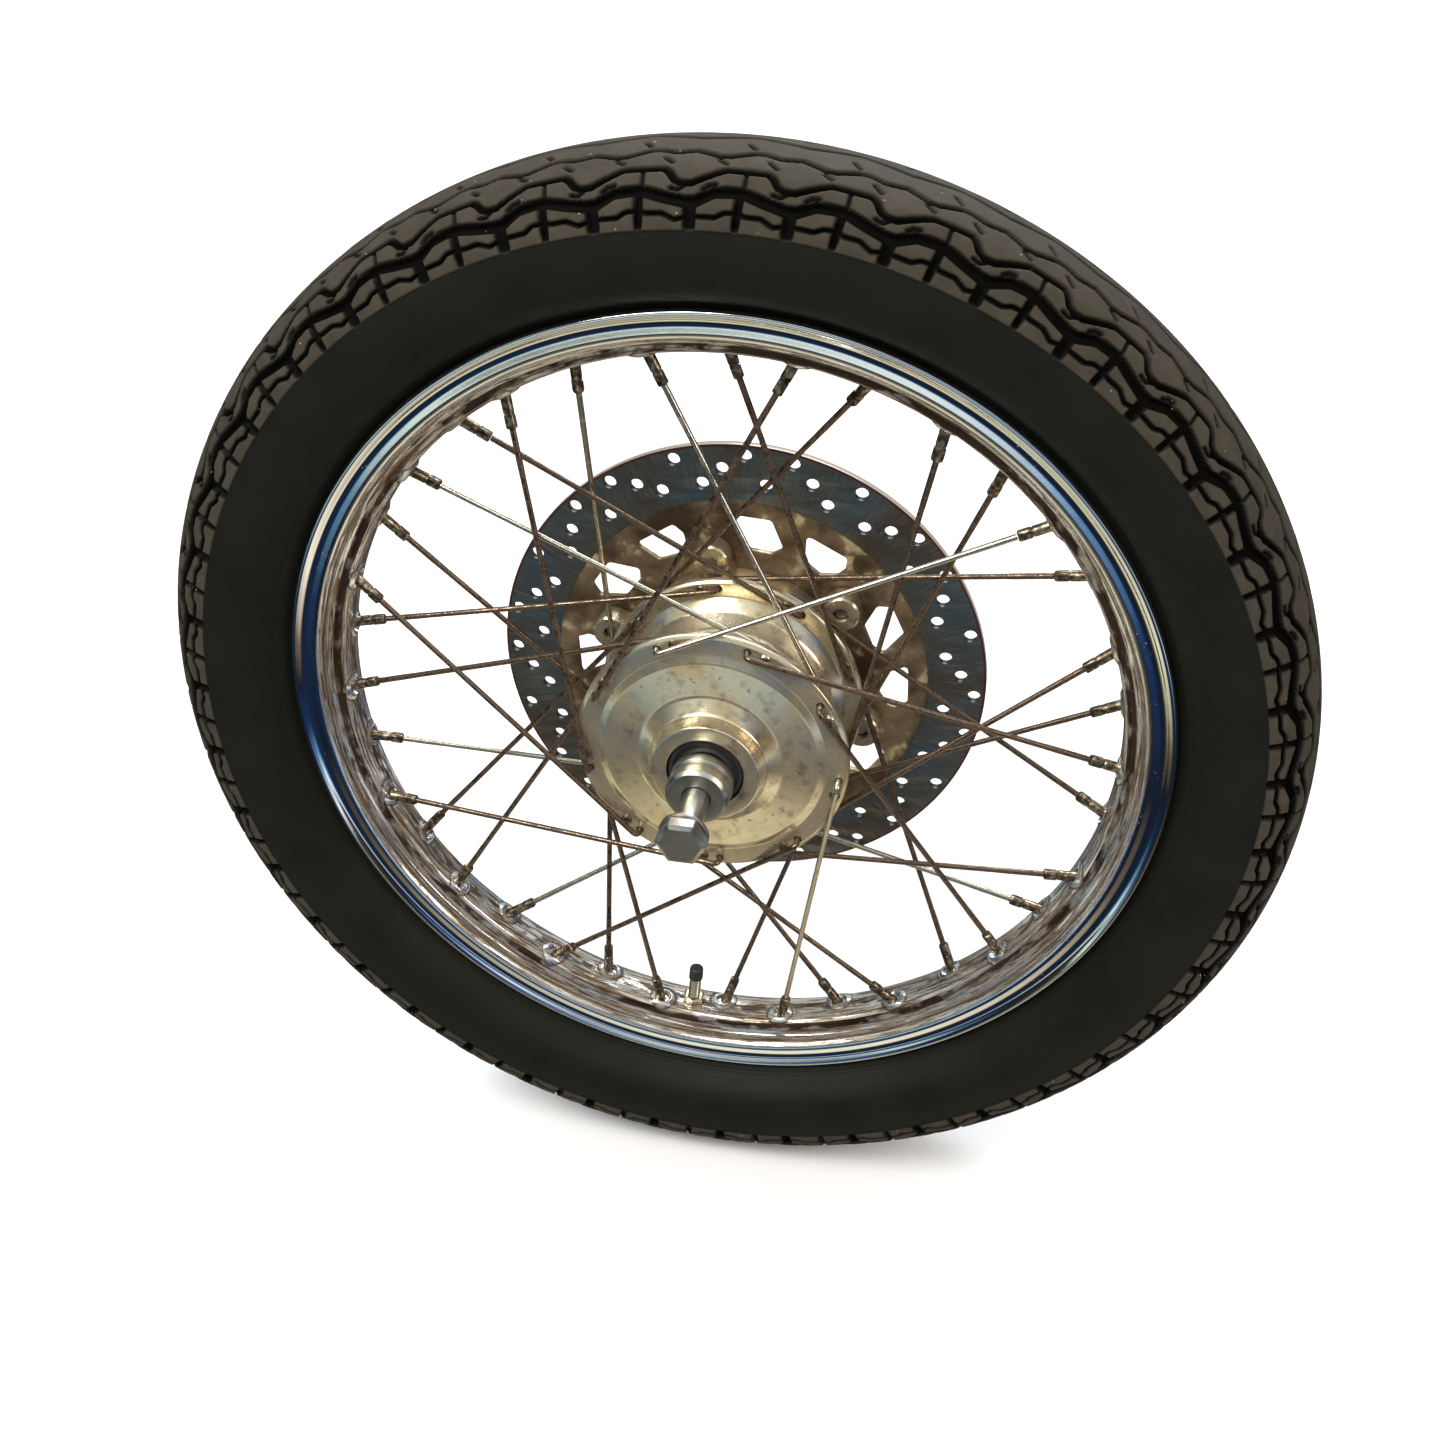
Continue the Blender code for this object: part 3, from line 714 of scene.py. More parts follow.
def disc_steel():
    """Scored dark track; stained carrier with painted shade and painted highlights in its patches; painted
    shade on the walls of the track's holes; a rusty outer edge.
    """
    paint = Finish("disc_steel", metallic=1.0)
    radius, _, y = paint.polar_parts()
    track = paint.between(radius, TRACK_BORE - 0.0006, TRACK_BORE + 0.0004)
    scores = paint.polar_noise(4, 0.9, 3600)
    strokes = paint.polar_noise(4, 260, 60)
    # carrier: stained tan, whose darkest colour (0.085, 0.052, 0.030) is painted shade and whose lightest
    # patches (0.74, 0.60, 0.36) are painted highlights
    stain = paint.patches(38, 5, 0.35, 0.65)
    tan = paint.blend(stain, (0.085, 0.052, 0.030), (0.32, 0.225, 0.130))
    tan = paint.blend(paint.patches(75, 5, 0.56, 0.70), tan, (0.74, 0.60, 0.36))
    colour = paint.blend(track, tan, track_steel(paint, scores, strokes))
    # painted shade: the walls inside the track's thickness, round its holes and at its edges
    deep = paint.band(y, TRACK_NEAR + 0.0002, TRACK_NEAR + 0.0006, TRACK_FAR - 0.0005, TRACK_FAR - 0.0001)
    deep = paint.times(deep, track)
    edge = paint.between(radius, DISC_RADIUS - 0.0018, DISC_RADIUS - 0.0010)
    outer = paint.between(radius, DISC_RADIUS - 0.00025, DISC_RADIUS - 0.00010)
    colour = paint.blend(deep, colour, (0.030, 0.022, 0.016))
    colour = paint.blend(edge, colour, (0.090, 0.018, 0.012))
    colour = paint.blend(outer, colour, (0.50, 0.41, 0.32))
    carrier_rough = paint.uneven(200, 4, 0.34, 0.56)
    rough = paint.blend(track, carrier_rough, paint.spread(scores, 0.24, 0.42))
    grain = paint.bump(scores, 0.00005, 0.6)
    # less metal on the rusty edge and on the walls painted as shade
    plain = paint.most(paint.times(edge, 0.6), paint.times(deep, 0.9))
    plain = paint.most(plain, paint.spread(track, 0.30, 0.25))
    return paint.end(base_color=colour, roughness=rough, normal=paint.bump(strokes, 0.00003, 0.4, grain),
                     metallic=paint.rest(plain))


def worn_metal(name, colour, roughness):
    """Turned steel or brass with a little tarnish, for fasteners and bearings."""
    paint = Finish(name, metallic=1.0)
    tarnish = paint.patches(220, 5, 0.54, 0.74)
    base = paint.blend(paint.noise(45, 3), colour, darker(colour, 0.78))
    rough = paint.plus(paint.spread(paint.polar_noise(2, 0.5, 2200), roughness - 0.05, roughness + 0.08),
                       paint.times(tarnish, 0.16))
    return paint.end(base_color=paint.blend(paint.times(tarnish, 0.6), base, (0.20, 0.15, 0.10)),
                     roughness=rough, normal=paint.bump(paint.noise(700, 4), 0.00006, 0.5))


# ---------------------------------------------------------------- tyre

# Paths of the tread grooves on one side: (share of a repeat, mm from the middle of the tread)
CENTRE_GROOVE = ((0.0, 2.6), (0.5, -2.6))
RIB_GROOVE = ((0.0, 17.0), (0.22, 20.8), (0.32, 20.8), (0.55, 16.6), (0.66, 16.6), (0.80, 18.6))
INNER_GROOVE = ((0.0, 37.6), (0.26, 31.4), (0.33, 30.0), (0.71, 29.8), (0.76, 31.4), (0.83, 36.0),
                (0.90, 37.6))
WIDE_GROOVE = ((0.0, 46.4), (0.06, 45.6), (0.24, 41.4), (0.50, 40.8), (0.74, 44.0), (0.94, 46.0))
SHOULDER_SIPE = ((0.0, 52.2), (0.26, 52.4), (0.35, 50.2), (0.50, 49.8), (0.55, 51.0), (0.72, 51.0),
                 (0.85, 53.8))
# Grooves that run round each side: (path, width in mm, depth in mm)
SIDE_GROOVES = ((RIB_GROOVE, 2.6, 4.0), (INNER_GROOVE, 2.8, 4.0), (WIDE_GROOVE, 4.8, 4.6),
                (SHOULDER_SIPE, 1.6, 3.0))
# Short cuts: ((share, mm), (share, mm), width in mm, depth in mm)
SHORT_CUTS = (
    ((0.00, 46.0), (0.00, 58.0), 5.2, 4.2),
    ((0.49, 41.0), (0.47, 57.0), 3.4, 3.8),
    ((0.51, 30.0), (0.52, 40.5), 1.5, 2.2),
    ((0.12, 40.2), (0.17, 38.2), 1.8, 2.2),
    ((0.17, 38.2), (0.24, 37.6), 1.8, 2.2),
    ((0.80, 40.0), (0.88, 40.6), 1.8, 2.2),
    ((0.88, 40.6), (0.93, 38.8), 1.8, 2.2),
    ((0.70, 22.5), (0.78, 26.0), 1.6, 2.0),
    ((0.22, 23.5), (0.30, 26.0), 1.6, 2.0),
    ((0.45, 8.0), (0.52, 12.5), 1.6, 2.0),
)


def from_segment(share, across, start, end, pitch):
    """Distance in mm to a straight piece of a path, on a grid of shares of a repeat and mm across."""
    span = np.array([(end[0] - start[0]) * pitch, end[1] - start[1]])
    along = ((share - start[0] + 0.5) % 1.0 - 0.5)[:, None] * pitch
    out = across[None, :] - start[1]
    part = np.clip((along * span[0] + out * span[1]) / (span ** 2).sum(), 0, 1)
    return np.hypot(along - part * span[0], out - part * span[1])


def cut_shape(away, width, depth):
    """Depth of a cut with sloping walls, from the distance to its middle line."""
    return depth * smoothstep((width / 2 + GROOVE_WALL / 2 - away) / GROOVE_WALL)


def groove_depth(share, across, path, width, depth, pitch):
    """Depth of a groove that runs right round."""
    ends = list(path[1:]) + [(path[0][0] + 1.0, path[0][1])]
    pieces = [from_segment(share, across, start, end, pitch) for start, end in zip(path, ends)]
    return cut_shape(np.minimum.reduce(pieces), width, depth)


def cut_depth(share, across, start, end, width, depth, pitch):
    """Depth of a short straight cut, which fades out beyond the edge of the blocks."""
    fade = 1 - smoothstep((across - TREAD_EDGE + 2.5) / CUT_FADE)[None, :]
    return fade * cut_shape(from_segment(share, across, start, end, pitch), width, depth)


def tread_depth(share, across, pitch):
    """Depth of the whole pattern in mm at each (share of a repeat, mm from the middle)."""
    layers = [groove_depth(share, across, CENTRE_GROOVE, 2.6, 3.6, pitch)]
    for sign, shift in ((1, 0.0), (-1, 0.5)):
        here = (share + shift) % 1.0
        out = across * sign
        for path, width, deep in SIDE_GROOVES:
            layers.append(groove_depth(here, out, path, width, deep, pitch))
        for start, end, width, cut in SHORT_CUTS:
            layers.append(cut_depth(here, out, start, end, width, cut, pitch))
    return np.maximum.reduce(layers)


def tyre_side():
    """Outline from the middle of the tread to the bead toe, as (y, radius) corners of a curve."""
    return [(0.0, TYRE_RADIUS), (0.0100, TYRE_RADIUS - 0.0007), (0.0200, TYRE_RADIUS - 0.0029),
            (0.0285, TYRE_RADIUS - 0.0063), (0.0350, TYRE_RADIUS - 0.0107), (0.0403, TYRE_RADIUS - 0.0170),
            (0.0436, TYRE_RADIUS - 0.0248), (TYRE_HALF, TYRE_RADIUS - 0.0350), (0.0443, 0.2680),
            (0.0408, 0.2590), (0.0350, 0.2522), (0.0285, 0.2476), (0.0232, 0.2448)]


def bead_and_inside():
    """The rest of the tyre's outline on one side: bead heel, toe and the inner wall."""
    heel = SEAT_RADIUS + 0.0006
    return [(0.0203, 0.2438), (0.0199, 0.2400), (0.0199, 0.2310), (0.0192, heel), (0.0140, heel),
            (0.0133, 0.2300), (0.0150, 0.2460), (0.0230, 0.2540), (0.0330, 0.2650), (0.0370, 0.2760),
            (0.0320, 0.2875), (0.0200, 0.2960), (0.0100, 0.2982)]


# Raised rings of the sidewall: (mm from the bead, height in mm)
SIDE_RINGS = ((3.0, 0.45), (5.2, 0.45), (10.0, 0.30), (27.0, 0.35))
RING_WIDTH = 0.9                 # mm from a ring's middle to its foot
SHOULDER_DROP = 0.8              # mm from the blocks' tops down to the sidewall
SHOULDER_WIDTH = 1.4             # mm along the tyre that the drop takes


def tyre_rows(length):
    """Places of the mesh's rows from the tread's middle to the bead, close together at both."""
    tread = np.arange(0, 0.0605, 0.00062)
    flank = np.linspace(0.0620, length - 0.0125, 16)
    bead = np.linspace(length - 0.0120, length, 20)
    return np.concatenate([tread, flank, bead])


def make_tyre(rubber):
    """Tyre with its whole tread cut in the mesh, hollow down to the beads."""
    outer = smooth_curve(tyre_side(), tyre_rows)
    steps = np.hypot(*np.diff(outer, axis=0).T) * 1000
    half_across = np.concatenate([[0], np.cumsum(steps)])
    half_length = half_across[-1]
    left = outer[::-1] * (-1, 1)
    inner = np.array(bead_and_inside())
    inner_left = inner[::-1] * (-1, 1)
    outline = np.concatenate([left, outer[1:], inner, [(0.0, 0.2990)], inner_left])
    skin = len(left) + len(outer) - 1
    columns = TREAD_UNITS * TREAD_STEPS
    turn = np.arange(columns)
    across = np.concatenate([-half_across[::-1], half_across[1:]])
    pitch = 2000 * math.pi * (TYRE_RADIUS - 0.010) / TREAD_UNITS
    unit = np.arange(TREAD_STEPS) / TREAD_STEPS
    cut = np.tile(tread_depth(unit, across, pitch), (TREAD_UNITS, 1))
    step = SHOULDER_DROP * smoothstep((np.abs(across) - TREAD_EDGE) / SHOULDER_WIDTH)
    from_bead = half_length - np.abs(across)
    rings = 0
    for place, height in SIDE_RINGS:
        rings = rings + height * smoothstep(1 - np.abs(from_bead - place) / RING_WIDTH)
    sink = (np.maximum(cut, step[None, :]) - rings[None, :] * 0.6) / 1000
    tangent = np.gradient(outline[:skin], across, axis=0)
    normal = np.stack([-tangent[:, 1], tangent[:, 0]], 1) / np.hypot(*tangent.T)[:, None]
    y = np.tile(outline[:, 0], (columns, 1))
    radius = np.tile(outline[:, 1], (columns, 1))
    y[:, :skin] -= sink * normal[:, 0]
    radius[:, :skin] -= sink * normal[:, 1]
    angle = -2 * math.pi * (turn / columns)[:, None] + math.radians(TREAD_START)
    points = np.stack([radius * np.cos(angle), y, radius * np.sin(angle)], -1)
    made = grid_mesh("tyre_casing", points)
    in_tread = (np.abs(across) < TREAD_EDGE + 0.6)[None, :]
    # groove: share of the full cut depth, which the material turns into the grooves' painted shade and
    # their grit
    groove = np.zeros_like(radius)
    groove[:, :skin] = smoothstep((cut - 0.6) / 1.8)
    top = np.zeros_like(radius)
    top[:, :skin] = in_tread * (1 - smoothstep(cut))
    set_attribute(made, "groove", groove)
    set_attribute(made, "block_top", top)
    made.data.shade_smooth()
    dressed(made, rubber, "wheel")
    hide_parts("tyre")


def make_tube(rubber):
    """Inflated inner tube."""
    corners = [(0.0, 0.2978), (0.0120, 0.2968), (0.0182, 0.2950), (0.0296, 0.2868), (0.0338, 0.2758),
               (0.0262, 0.2616), (0.0120, 0.2480), (0.0070, 0.2370), (0.0, 0.2308)]
    skin = smooth_curve(corners, 34)
    outline = np.concatenate([skin, skin[-2:0:-1] * (-1, 1)])
    made = turned("inner_tube_skin", [tuple(point) for point in outline], 240)
    shaded(made, 60)
    dressed(made, rubber, "wheel")
    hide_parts("inner_tube")


# ---------------------------------------------------------------- rim, its band and the valve

DIMPLE_RADIUS = 0.0094
DIMPLE_SLOPE = 0.0042            # how far in from its edge a dimple goes on rising
DIMPLE_RISE = 0.0015
DIMPLE_HOLE = 0.0041
HOLE_DEPTH = 0.0024
WELL_RADIUS = 0.2165
LEDGE_RADIUS = 0.2262
LEDGE_HALF = 0.0150


def rim_half():
    """Outline of the +Y half: the tyre side from the well to the flange, then the spoke side back."""
    return [(0.0, 0.2187, 0), (0.0085, 0.2187, 0.002), (0.0112, 0.2262, 0.002),
            (0.0133, 0.2283, 0.002), (0.0192, 0.2286, 0.0012), (0.0203, 0.2312, 0.002),
            (0.0203, 0.2406, 0.003), (0.0214, 0.2425, 0.0016), (0.0238, 0.2425, 0.0016),
            (RIM_HALF, 0.2412, 0.0012), (RIM_HALF, 0.2398, 0.0010), (0.0241, 0.2384, 0.0012),
            (0.0228, 0.2370, 0.0040), (0.0224, 0.2338, 0.0060), (0.0226, 0.2304, 0.0030),
            (0.0221, 0.2278, 0.0034), (0.0196, 0.2262, 0.0030), (0.0164, 0.2256, 0.0020),
            (0.0146, 0.2252, 0.0018), (0.0128, 0.2222, 0.0030), (0.0117, 0.2186, 0.0022),
            (0.0098, 0.2168, 0.0026), (0.0040, 0.2164, 0.0060), (0.0, 0.2164, 0)]


def rim_outline():
    """The whole outline, with points close enough together to carry the dimples."""
    half = rim_half()
    other = [(-y, radius, size) for y, radius, size in reversed(half[1:-1])]
    return divided(rounded(half + other, 5), 0.0009)


def make_rim(chrome):
    """Rim shell whose spoke side rises in a dimple, with a hole in it, round each nipple."""
    outline = np.array(rim_outline())
    turn = np.arange(RIM_STEPS)
    angle = 2 * math.pi * turn / RIM_STEPS
    y = np.tile(outline[:, 0], (RIM_STEPS, 1))
    radius = np.tile(outline[:, 1], (RIM_STEPS, 1))
    spoke_side = (np.gradient(outline[:, 0]) < 0) & (np.abs(outline[:, 0]) < LEDGE_HALF)
    reach = smoothstep((LEDGE_RADIUS - outline[:, 1]) / 0.006) * spoke_side
    dimple = np.zeros_like(radius)
    for index in range(SPOKES):
        side = 1 if index % 2 else -1
        centre = 2 * math.pi * index / SPOKES
        offset = (angle - centre + math.pi) % (2 * math.pi) - math.pi
        rows = np.where(np.abs(offset) < 0.06)[0]
        arc = offset[rows][:, None] * WELL_RADIUS
        away = np.hypot(arc, outline[None, :, 0] - side * NIPPLE_OFFSET)
        rise = smoothstep((DIMPLE_RADIUS - away) / DIMPLE_SLOPE)
        hole = smoothstep((DIMPLE_HOLE + 0.0004 - away) / 0.0008)
        radius[rows] -= (DIMPLE_RISE * rise - HOLE_DEPTH * hole) * reach[None, :]
        dimple[rows] = np.maximum(dimple[rows], rise * spoke_side[None, :])
    points = np.stack([radius * np.cos(angle)[:, None], y, radius * np.sin(angle)[:, None]], -1)
    made = shaded(grid_mesh("rim_shell", points), 50)
    set_attribute(made, "dimple", dimple)
    dressed(made, chrome, "wheel")
    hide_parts("rim")


def make_rim_band(rubber):
    """Rubber strip in the well that keeps the tube off the nipple heads."""
    outline = rounded([(-0.0078, 0.2238, 0.0004), (0.0078, 0.2238, 0.0004), (0.0084, 0.2246, 0.0004),
                       (0.0060, 0.2250, 0.0006), (-0.0060, 0.2250, 0.0006), (-0.0084, 0.2246, 0.0004)], 3)
    made = shaded(turned("rim_band", outline, 180))
    dressed(made, rubber, "wheel")


def threaded(name, low, high, radius, pitch, depth, sides, axis_point, along, ends=0.0006):
    """Closed threaded stud from low to high along a line, with chamfered ends."""
    rows = max(4, int((high - low) / pitch * 8))
    out = Vector(along).normalized()
    across = out.orthogonal().normalized()
    third = out.cross(across)
    rings = []
    for k in range(rows + 1):
        place = low + (high - low) * k / rows
        ease = min(1.0, (place - low) / ends, (high - place) / ends)
        ring = []
        for n in range(sides):
            angle = 2 * math.pi * n / sides
            wave = abs(((place / pitch - n / sides) % 1.0) - 0.5) * 2
            size = radius - depth * (1 - wave) - 0.0006 * (1 - max(0.0, ease))
            aside = across * math.cos(angle) + third * math.sin(angle)
            ring.append(Vector(axis_point) + out * place + aside * size)
        rings.append(ring)
    return capped(name, rings)


def hexagon(across_flats):
    """Ring of a hexagon with slightly rounded corners."""
    radius = across_flats / math.sqrt(3)
    ring = []
    for k in range(6):
        for shift in (-3.0, 0.0, 3.0):
            angle = math.radians(60 * k + shift)
            size = radius * (0.995 if shift == 0 else 0.985)
            ring.append((math.cos(angle) * size, math.sin(angle) * size))
    return ring


def hex_rings(low, high, across_flats, frame_at):
    """Rings of a hexagon prism whose ends are chamfered; frame_at(place) maps (a, b) into space."""
    full = hexagon(across_flats)
    chamfer = across_flats * 0.04
    limit = across_flats / 2
    small = []
    for a, b in full:
        length = max(limit, math.hypot(a, b))
        small.append((a * limit / length, b * limit / length))
    tiny = [(a * 0.94, b * 0.94) for a, b in small]
    stations = ((low, tiny), (low + chamfer * 0.5, small), (low + chamfer * 1.6, full),
                (high - chamfer * 1.6, full), (high - chamfer * 0.5, small), (high, tiny))
    return [[frame_at(place, a, b) for a, b in ring] for place, ring in stations]


def make_valve(brass, rubber):
    """Threaded stem, lock nut on the rim and a ribbed cap on its end."""
    inward = polar(-1.0, VALVE_ANGLE)
    start = polar(VALVE_START, VALVE_ANGLE)
    across = Vector((0, 1, 0))
    third = inward.cross(across)

    def at(place, a, b):
        return start + inward * place + across * a + third * b

    length = VALVE_START - VALVE_END
    stem = threaded("valve_stem", 0.0, length - 0.0025, 0.0037, 0.0009, 0.00035, 24, start, inward)
    shaded(stem, 25)
    dressed(stem, brass, "wheel")
    nut = shaded(capped("valve_nut", hex_rings(0.0133, 0.0172, 0.0120, at)), 25)
    dressed(nut, brass, "wheel")
    rings = []
    stations = ((0.0, 0.0040), (0.0003, 0.0044), (0.0070, 0.0043), (0.0082, 0.0040), (0.0088, 0.0034),
                (0.0090, 0.0020))
    for place, size in stations:
        ribs = 0.00022 if 0.0002 < place < 0.0075 else 0.0
        ring = []
        for k in range(48):
            angle = 2 * math.pi * k / 48
            reach = size - ribs * (k % 2)
            ring.append(at(length - 0.0090 + place, reach * math.cos(angle), reach * math.sin(angle)))
        rings.append(ring)
    cap = shaded(capped("valve_cap", rings), 25)
    dressed(cap, rubber, "wheel")


# ---------------------------------------------------------------- spokes

def spoke_line(index):
    """Corner of the elbow, rim-end seat, flange side and whether the spoke runs outside its flange."""
    angle = 360 / SPOKES * index
    side = 1 if index % 2 else -1
    outside = index % 4 in (0, 3)
    hub_angle = angle + (SPOKE_LEAD if outside else -SPOKE_LEAD)
    corner = polar(HOLE_CIRCLE, hub_angle, side * (OUTER_RUN if outside else INNER_RUN))
    seat = polar(NIPPLE_SEAT, angle, side * NIPPLE_OFFSET)
    return corner, seat, side, outside


def make_spoke(index, steel):
    """Domed head, shank through the flange, elbow and straight run into the nipple."""
    corner, seat, side, outside = spoke_line(index)
    shank = Vector((0, side if outside else -side, 0))
    face = FLANGE_INNER if outside else FLANGE_OUTER
    under_head = Vector((corner.x, side * face, corner.z))
    along = (seat - corner).normalized()
    path, radii = [], []
    head = ((0.0017, 0.0010), (0.0016, 0.0019), (0.0012, 0.0027), (0.0006, 0.0031), (0.0, 0.0030),
            (-0.0004, SPOKE_RADIUS))
    for lift, radius in head:
        path.append(under_head - shank * lift)
        radii.append(radius)
    bend = 0.0042
    for k in range(9):
        t = k / 8
        start, end = corner - shank * bend, corner + along * bend
        path.append(start * (1 - t) ** 2 + corner * 2 * t * (1 - t) + end * t ** 2)
        radii.append(SPOKE_RADIUS)
    finish_place = seat - along * (NIPPLE_LENGTH - 0.004)
    run = (finish_place - path[-1]).length
    for share in (0.10, 0.14, 0.5, 0.86, 0.90, 1.0):
        path.append(corner + along * (bend + (run - bend) * share))
        radii.append(SPOKE_RADIUS if share <= 0.10 or share >= 0.90 else SPOKE_RADIUS - 0.00012)
    sections = [circle(radius, 14) for radius in radii]
    made = shaded(capped(f"spoke_wire_{index + 1:02d}", rings_along(path, sections)), 40)
    dressed(made, steel, "wheel")
    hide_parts(f"spoke_{index + 1:02d}")


def make_nipple(index, brass):
    """Square-sided key end, narrow neck, round body and the head inside the rim."""
    corner, seat, _, _ = spoke_line(index)
    along = (seat - corner).normalized()
    stations = ((0.0000, 0.74, 0.0), (0.0003, 0.88, 0.3), (0.0009, 1.0, 1.0), (0.0064, 1.0, 1.0),
                (0.0069, 0.97, 0.6), (0.0072, 0.88, 0.0), (0.0077, 0.88, 0.0), (0.0081, 0.98, 0.0),
                (0.0090, 1.0, 0.0), (0.0185, 1.02, 0.0), (0.0222, 1.02, 0.0), (0.0225, 1.30, 0.0),
                (0.0240, 1.34, 0.0), (0.0250, 1.10, 0.0), (0.0253, 0.80, 0.0))
    start = seat - along * NIPPLE_LENGTH
    path = [start + along * place for place, _, _ in stations]
    sections = []
    for _, size, square in stations:
        sections.append(circle(NIPPLE_RADIUS * size * (1.09 if square else 1.0), 24, square))
    made = shaded(capped(f"nipple_{index + 1:02d}", rings_along(path, sections)), 30)
    dressed(made, brass, "wheel")


# ---------------------------------------------------------------- hub

def hub_corners():
    """Outline from the -Y end along the outside to the disc's end, and back through the bores."""
    waist = [(0.0120, 0.0520, 0.0120), (0.0215, 0.0590, 0.0080), (0.0265, 0.0655, 0.0020),
             (0.0265, 0.0733, 0.0008), (0.0278, 0.0750, 0.0012), (0.0312, 0.0750, 0.0012),
             (0.0325, 0.0728, 0.0008)]
    near_end = [(-0.0500, 0.0295, 0.0010), (-0.0420, 0.0320, 0.0040), (-0.0368, 0.0400, 0.0050),
                (-0.0345, 0.0590, 0.0040), (-0.0325, 0.0632, 0.0020)]
    disc_end = [(0.0325, 0.0640, 0.0014), (0.0345, 0.0628, 0.0014), (0.0415, 0.0628, 0.0020),
                (0.0422, 0.0680, 0.0008), (LUG_FACE, 0.0680, 0.0008), (LUG_FACE, 0.0592, 0.0008),
                (0.0480, 0.0540, 0.0030), (0.0470, 0.0360, 0.0040), (0.0530, 0.0300, 0.0010)]
    bores = [(0.0530, 0.0210, 0.0008), (0.0297, 0.0210, 0.0006), (0.0297, 0.0180, 0.0006),
             (-0.0297, 0.0180, 0.0006), (-0.0297, 0.0210, 0.0006), (-0.0500, 0.0210, 0.0008)]
    near_waist = mirrored_corners(waist, -1)[::-1]
    return near_end + near_waist + [(0.0, 0.0500, 0.0300)] + waist + disc_end + bores


def make_hub(aluminium):
    made = turned("hub_shell", rounded(hub_corners(), 4), 128)
    lugs, drills = [], []
    lug_stations = ((LUG_BACK, 0.90), (LUG_BACK + 0.0010, 1.0), (LUG_FACE - 0.0008, 1.0),
                    (LUG_FACE, 0.94))
    for k in range(LUGS):
        angle = LUG_ANGLE + 360 / LUGS * k
        rings = []
        for y, size in lug_stations:
            centre = polar(LUG_CIRCLE, angle, y)
            rings.append([centre + Vector((a, 0, b)) for a, b in circle(LUG_RADIUS * size, 36)])
        lugs.append(capped("lug", rings))
        out, aside = polar(1, angle), polar(1, angle + 90)
        far, half = LUG_CIRCLE - 0.001, LUG_RADIUS * 0.92
        corners = ((0.0600, 0.0125), (far, half), (far, -half), (0.0600, -0.0125))
        web = [out * a + aside * b for a, b in corners]
        lugs.append(prism("web", [(p.x, p.z) for p in web], LUG_BACK + 0.0012, LUG_FACE - 0.0006))
        drills.append(prism("drill", circle(BOLT_HOLE, 28), 0.03, 0.07, polar(LUG_CIRCLE, angle)))
    add_each(made, lugs)
    for index in range(SPOKES):
        corner, _, side, _ = spoke_line(index)
        low, high = sorted((side * (FLANGE_INNER - 0.002), side * (FLANGE_OUTER + 0.002)))
        middle = Vector((corner.x, 0, corner.z))
        drills.append(prism("drill", circle(SPOKE_RADIUS + 0.0005, 16), low, high, middle))
    combined(made, drills, "DIFFERENCE")
    shaded(made, 32)
    dressed(made, aluminium, "wheel")
    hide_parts("hub")


def add_each(target, tools):
    """Unite tools that overlap one another: one Boolean for each set that doesn't."""
    combined(target, tools[0::2], "UNION")
    combined(target, tools[1::2], "UNION")


# ---------------------------------------------------------------- brake disc

def add_loop(curve, points):
    loop = curve.splines.new("POLY")
    loop.points.add(len(points) - 1)
    for spot, (x, z) in zip(loop.points, points):
        spot.co = (x, z, 0.0, 1.0)
    loop.use_cyclic_u = True


def ring_points(radius, sides, centre=(0.0, 0.0)):
    steps = [2 * math.pi * k / sides for k in range(sides)]
    return [(centre[0] + radius * math.cos(a), centre[1] + radius * math.sin(a)) for a in steps]


PLATE_EDGE = 0.00035             # rounding of a plate's edges


def plate(name, loops, low, high):
    """Flat plate between two y values with holes, its edges all slightly rounded."""
    curve = bpy.data.curves.new(name, "CURVE")
    curve.dimensions = "2D"
    curve.fill_mode = "BOTH"
    curve.extrude = (high - low) / 2 - PLATE_EDGE
    curve.bevel_depth = PLATE_EDGE
    curve.bevel_resolution = 1
    curve.offset = -PLATE_EDGE
    for loop in loops:
        add_loop(curve, loop)
    guide = linked(name, curve)
    view = bpy.context.evaluated_depsgraph_get()
    mesh = bpy.data.meshes.new_from_object(guide.evaluated_get(view))
    bpy.data.objects.remove(guide, do_unlink=True)
    made = linked(name, mesh)
    coordinates = np.empty(len(mesh.vertices) * 3)
    mesh.vertices.foreach_get("co", coordinates)
    x, z, y = coordinates.reshape(-1, 3).T
    mesh.vertices.foreach_set("co", np.stack([x, y + (low + high) / 2, z], 1).ravel())
    return tidied(made)


def window_loop(corners, middle):
    """Outline of a window with rounded corners, as (x, z) points."""
    flat = []
    for turn, share in corners:
        spot = polar(WINDOW_INNER + share * (WINDOW_OUTER - WINDOW_INNER), middle + turn)
        flat.append((spot.x, spot.z, 0.0030))
    return rounded(flat, 6)


def track_holes():
    holes = []
    for k in range(HOLES):
        spot = polar(HOLE_PATTERN[k % len(HOLE_PATTERN)], FIRST_HOLE - 360 / HOLES * k)
        holes.append(ring_points(HOLE_RADIUS, 28, (spot.x, spot.z)))
    return holes


